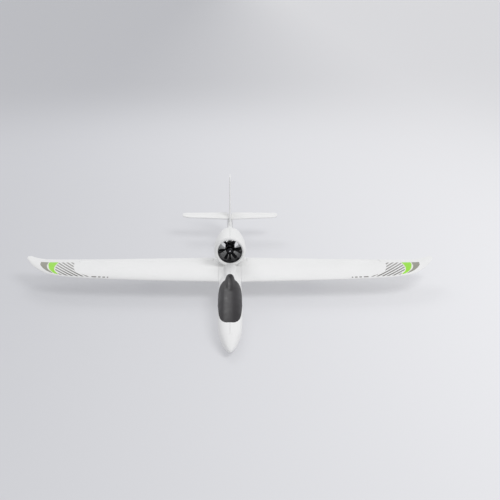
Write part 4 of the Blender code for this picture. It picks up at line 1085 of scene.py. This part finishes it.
def build_fan():
    rotor = turned_ring(FAN_AXIS, [(18.0, 1.8), (18.0, HUB_R - 0.2), (18.2, HUB_R), (33.8, HUB_R),
                                   (34.0, HUB_R - 0.2), (34.0, 1.8)], 72)
    for index in range(BLADE_COUNT):
        rotor = add(rotor, blade(index))
    piece(rotor, "fan_rotor_moulding", "fan", BLACK, ["fan_rotor"])

    tip, base = 7.5, ROTOR_START - SEAM
    dome = [(base, 1.8), (base, HUB_R - 0.2), (base - 0.3, HUB_R)]
    for d in (82, 74, 66, 58, 50, 43, 36, 30, 24, 19):
        a = math.radians(d)
        dome.append((tip + (base - tip) * (1 - math.cos(a)), HUB_R * math.sin(a)))
    dome += [(tip + 0.6, 3.2), (tip + 0.9, 2.5), (tip + 1.4, 2.2), (base - 3.8, 2.2), (base - 3.8, 1.8)]
    piece(turned_ring(FAN_AXIS, dome, 72), "spinner_dome", "fan", SPINNER_BLACK,
          ["spinner"])
    screw = turned_ring(FAN_AXIS, [(8.3, 0.85), (8.1, 1.1), (8.2, 1.5), (8.7, 1.9), (base - 4.0, 1.9),
                                   (base - 4.0, 0.4), (10.0, 0.4), (10.0, 0.85)], 6 * 8)
    piece(screw, "spinner_socket_screw", "fan", STEEL, ["spinner_screw"])

    shaft = turned(FAN_AXIS, [(14.6, 1.3), (14.8, 1.5), (34.5, 1.5), (34.7, 1.4)], 32)
    piece(shaft, "motor_shaft_rod", "fan", STEEL, ["motor_shaft"])
    motor = turned(FAN_AXIS, [(35.0, 9.6), (35.2, 9.9), (36.4, 11.1), (36.8, 11.3), (41, 11.3),
                              (41.3, 11.0), (42.2, 11.0), (42.5, 11.3), (62.6, 11.3), (63.0, 10.9)], 72)
    piece(motor, "motor_can", "airframe", MOTOR_CAN, ["motor"])
    cone = [(63.3 + s, blend([(0, 12.8), (14, 11.0), (26, 7.0), (34, 2.0)], s)) for s in spread(0, 33, 18)]
    cone += [(96.9, 1.5), (97.2, 0.7)]
    piece(turned(FAN_AXIS, cone, 60), "tail_cone_fairing", "airframe", BLACK,
          ["motor_tail_cone"])
    leads = ((-1.5, RED_LEAD, "red"), (0.0, BROWN_LEAD, "brown"), (1.5, BLACK, "black"))
    lead_path = ((58.0, 13.8), (60.6, 14.6), (62.0, 17.5), (61.8, 24.0), (61.5, 30.5), (60.9, 31.9))
    for offset, material, name in leads:
        points = []
        for along, radius in lead_path:
            centre = FAN_AXIS.point(along, radius, -math.pi / 2)
            points.append(centre + Vector((offset, 0, 0)))
        piece(tube_along(points, 0.7, 16), "motor_lead_" + name, "airframe", material)


# ================================================================ carried-over hardware
def refined(name, width, material, segments=2, angle=30):
    """The designed piece itself, cleaned and with its crisp edges rounded."""
    source = NODES[name]
    body = source["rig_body"]
    bm = bmesh.new()
    bm.from_mesh(source.data)
    bmesh.ops.remove_doubles(bm, verts=bm.verts, dist=0.002 * MM)
    limit = math.radians(1.0)
    bmesh.ops.dissolve_limit(bm, angle_limit=limit, verts=bm.verts, edges=bm.edges)
    obj = make_object(bm)
    if width:
        bevelled(obj, width, segments, angle)
    return piece(obj, name + "_moulding", body, material, [name])


def build_hardware():
    for prefix in ("elevator", "rudder", "left_aileron", "right_aileron"):
        refined(prefix + "_servo", 0.35, SERVO)
        refined(prefix + "_servo_arm", 0.2, WHITE_PLASTIC)
        refined(prefix + "_horn", 0.18, BLACK)
        refined(prefix + "_clevis", 0.15, BLACK)
        refined(prefix + "_pushrod", 0.0, STEEL)
    refined("battery_pack", 2.2, WRAP, 5)
    refined("battery_tray", 0.3, PLY)
    refined("canopy_tongue", 0.4, PLY)
    refined("battery_strap", 0.25, STRAP)
    refined("speed_controller", 1.2, BLACK, 4)
    refined("receiver", 0.9, GREY, 4)
    refined("belly_skid", 0.5, GREY, 3)
    for name in ("wing_spar_tube", "wing_rear_pin", "stabilizer_spar"):
        refined(name, 0.1, CARBON)
    refined("elevator_joiner", 0.15, STEEL)


# ================================================================ picture
def build_floor():
    """Pale sweep that gets lighter towards the left wing's side as painted light from that side, and glows
    faintly in its own colour, a painted glow that softens the shadows on it.
    """
    bm = bmesh.new()
    bmesh.ops.create_grid(bm, x_segments=40, y_segments=40, size=60.0)
    floor = make_object(bm, "floor")
    n = Nodes("pale_floor_painted_light", (0.45, 0.45, 0.46), 0.9)
    place = n.node("ShaderNodeSeparateXYZ")
    n.link(n.place, place.inputs["Vector"])
    across = n.node("ShaderNodeMapRange", interpolation_type="SMOOTHSTEP")
    across.inputs["From Min"].default_value = -1.1
    across.inputs["From Max"].default_value = 1.5
    n.link(place.outputs["X"], across.inputs["Value"])
    mottle = n.node("ShaderNodeMath", operation="MULTIPLY_ADD")
    mottle.inputs[1].default_value = 0.02
    n.link(n.noise(0.6, 3.0), mottle.inputs[0])
    n.link(across.outputs["Result"], mottle.inputs[2])
    # painted light: the colour ramps from darker at -X to lighter at +X, standing in for the light falling
    # on that side
    tone = n.ramp(mottle.outputs["Value"], [(0.0, (0.375, 0.378, 0.394)), (1.0, (0.525, 0.525, 0.535))])
    n.link(tone, n.shader.inputs["Base Color"])
    # painted light: the floor glows in its own colour, which lifts the shadows cast on it
    n.link(tone, n.shader.inputs["Emission Color"])
    n.shader.inputs["Emission Strength"].default_value = 0.66
    n.roughness(n.noise(8.0), 0.85, 0.95)
    n.shader.inputs["Specular IOR Level"].default_value = 0.1
    floor.data.materials.append(n.material)


def soft_light(name, place, target, size, power):
    light = bpy.data.lights.new(name, "AREA")
    light.shape = "DISK"
    light.size = size
    light.energy = power
    obj = bpy.data.objects.new(name, light)
    obj.location = place
    obj.rotation_euler = (Vector(target) - Vector(place)).to_track_quat("-Z", "Y").to_euler()
    bpy.context.scene.collection.objects.link(obj)


def build_studio():
    world = bpy.data.worlds.new("soft_room")
    world.use_nodes = True
    background = world.node_tree.nodes["Background"]
    background.inputs["Color"].default_value = (0.97, 0.975, 1.0, 1)
    background.inputs["Strength"].default_value = 0.66
    bpy.context.scene.world = world
    bpy.context.scene.view_settings.view_transform = "Standard"
    soft_light("key_light", (1.3, -1.0, 2.3), (0, 0, 0.05), 1.5, 23.0)
    soft_light("rear_light", (-0.5, 1.9, 1.8), (0, 0.1, 0.05), 1.4, 12.0)


def build_camera():
    camera = bpy.data.cameras.new("camera")
    camera.lens = CAMERA_LENS
    camera.sensor_width = 36.0
    camera.shift_x = CAMERA_SHIFT_X
    obj = bpy.data.objects.new("camera", camera)
    obj.location = CAMERA_PLACE
    obj.rotation_euler = (math.radians(CAMERA_TILT), 0, 0)
    bpy.context.scene.collection.objects.link(obj)
    bpy.context.scene.camera = obj


build_fuselage()
build_nose_cap()
build_wing()
build_tip_graphics()
build_stabilizer()
build_elevator()
build_fin()
build_rudder()
build_pod()
build_fan()
build_hardware()
build_floor()
build_studio()
build_camera()
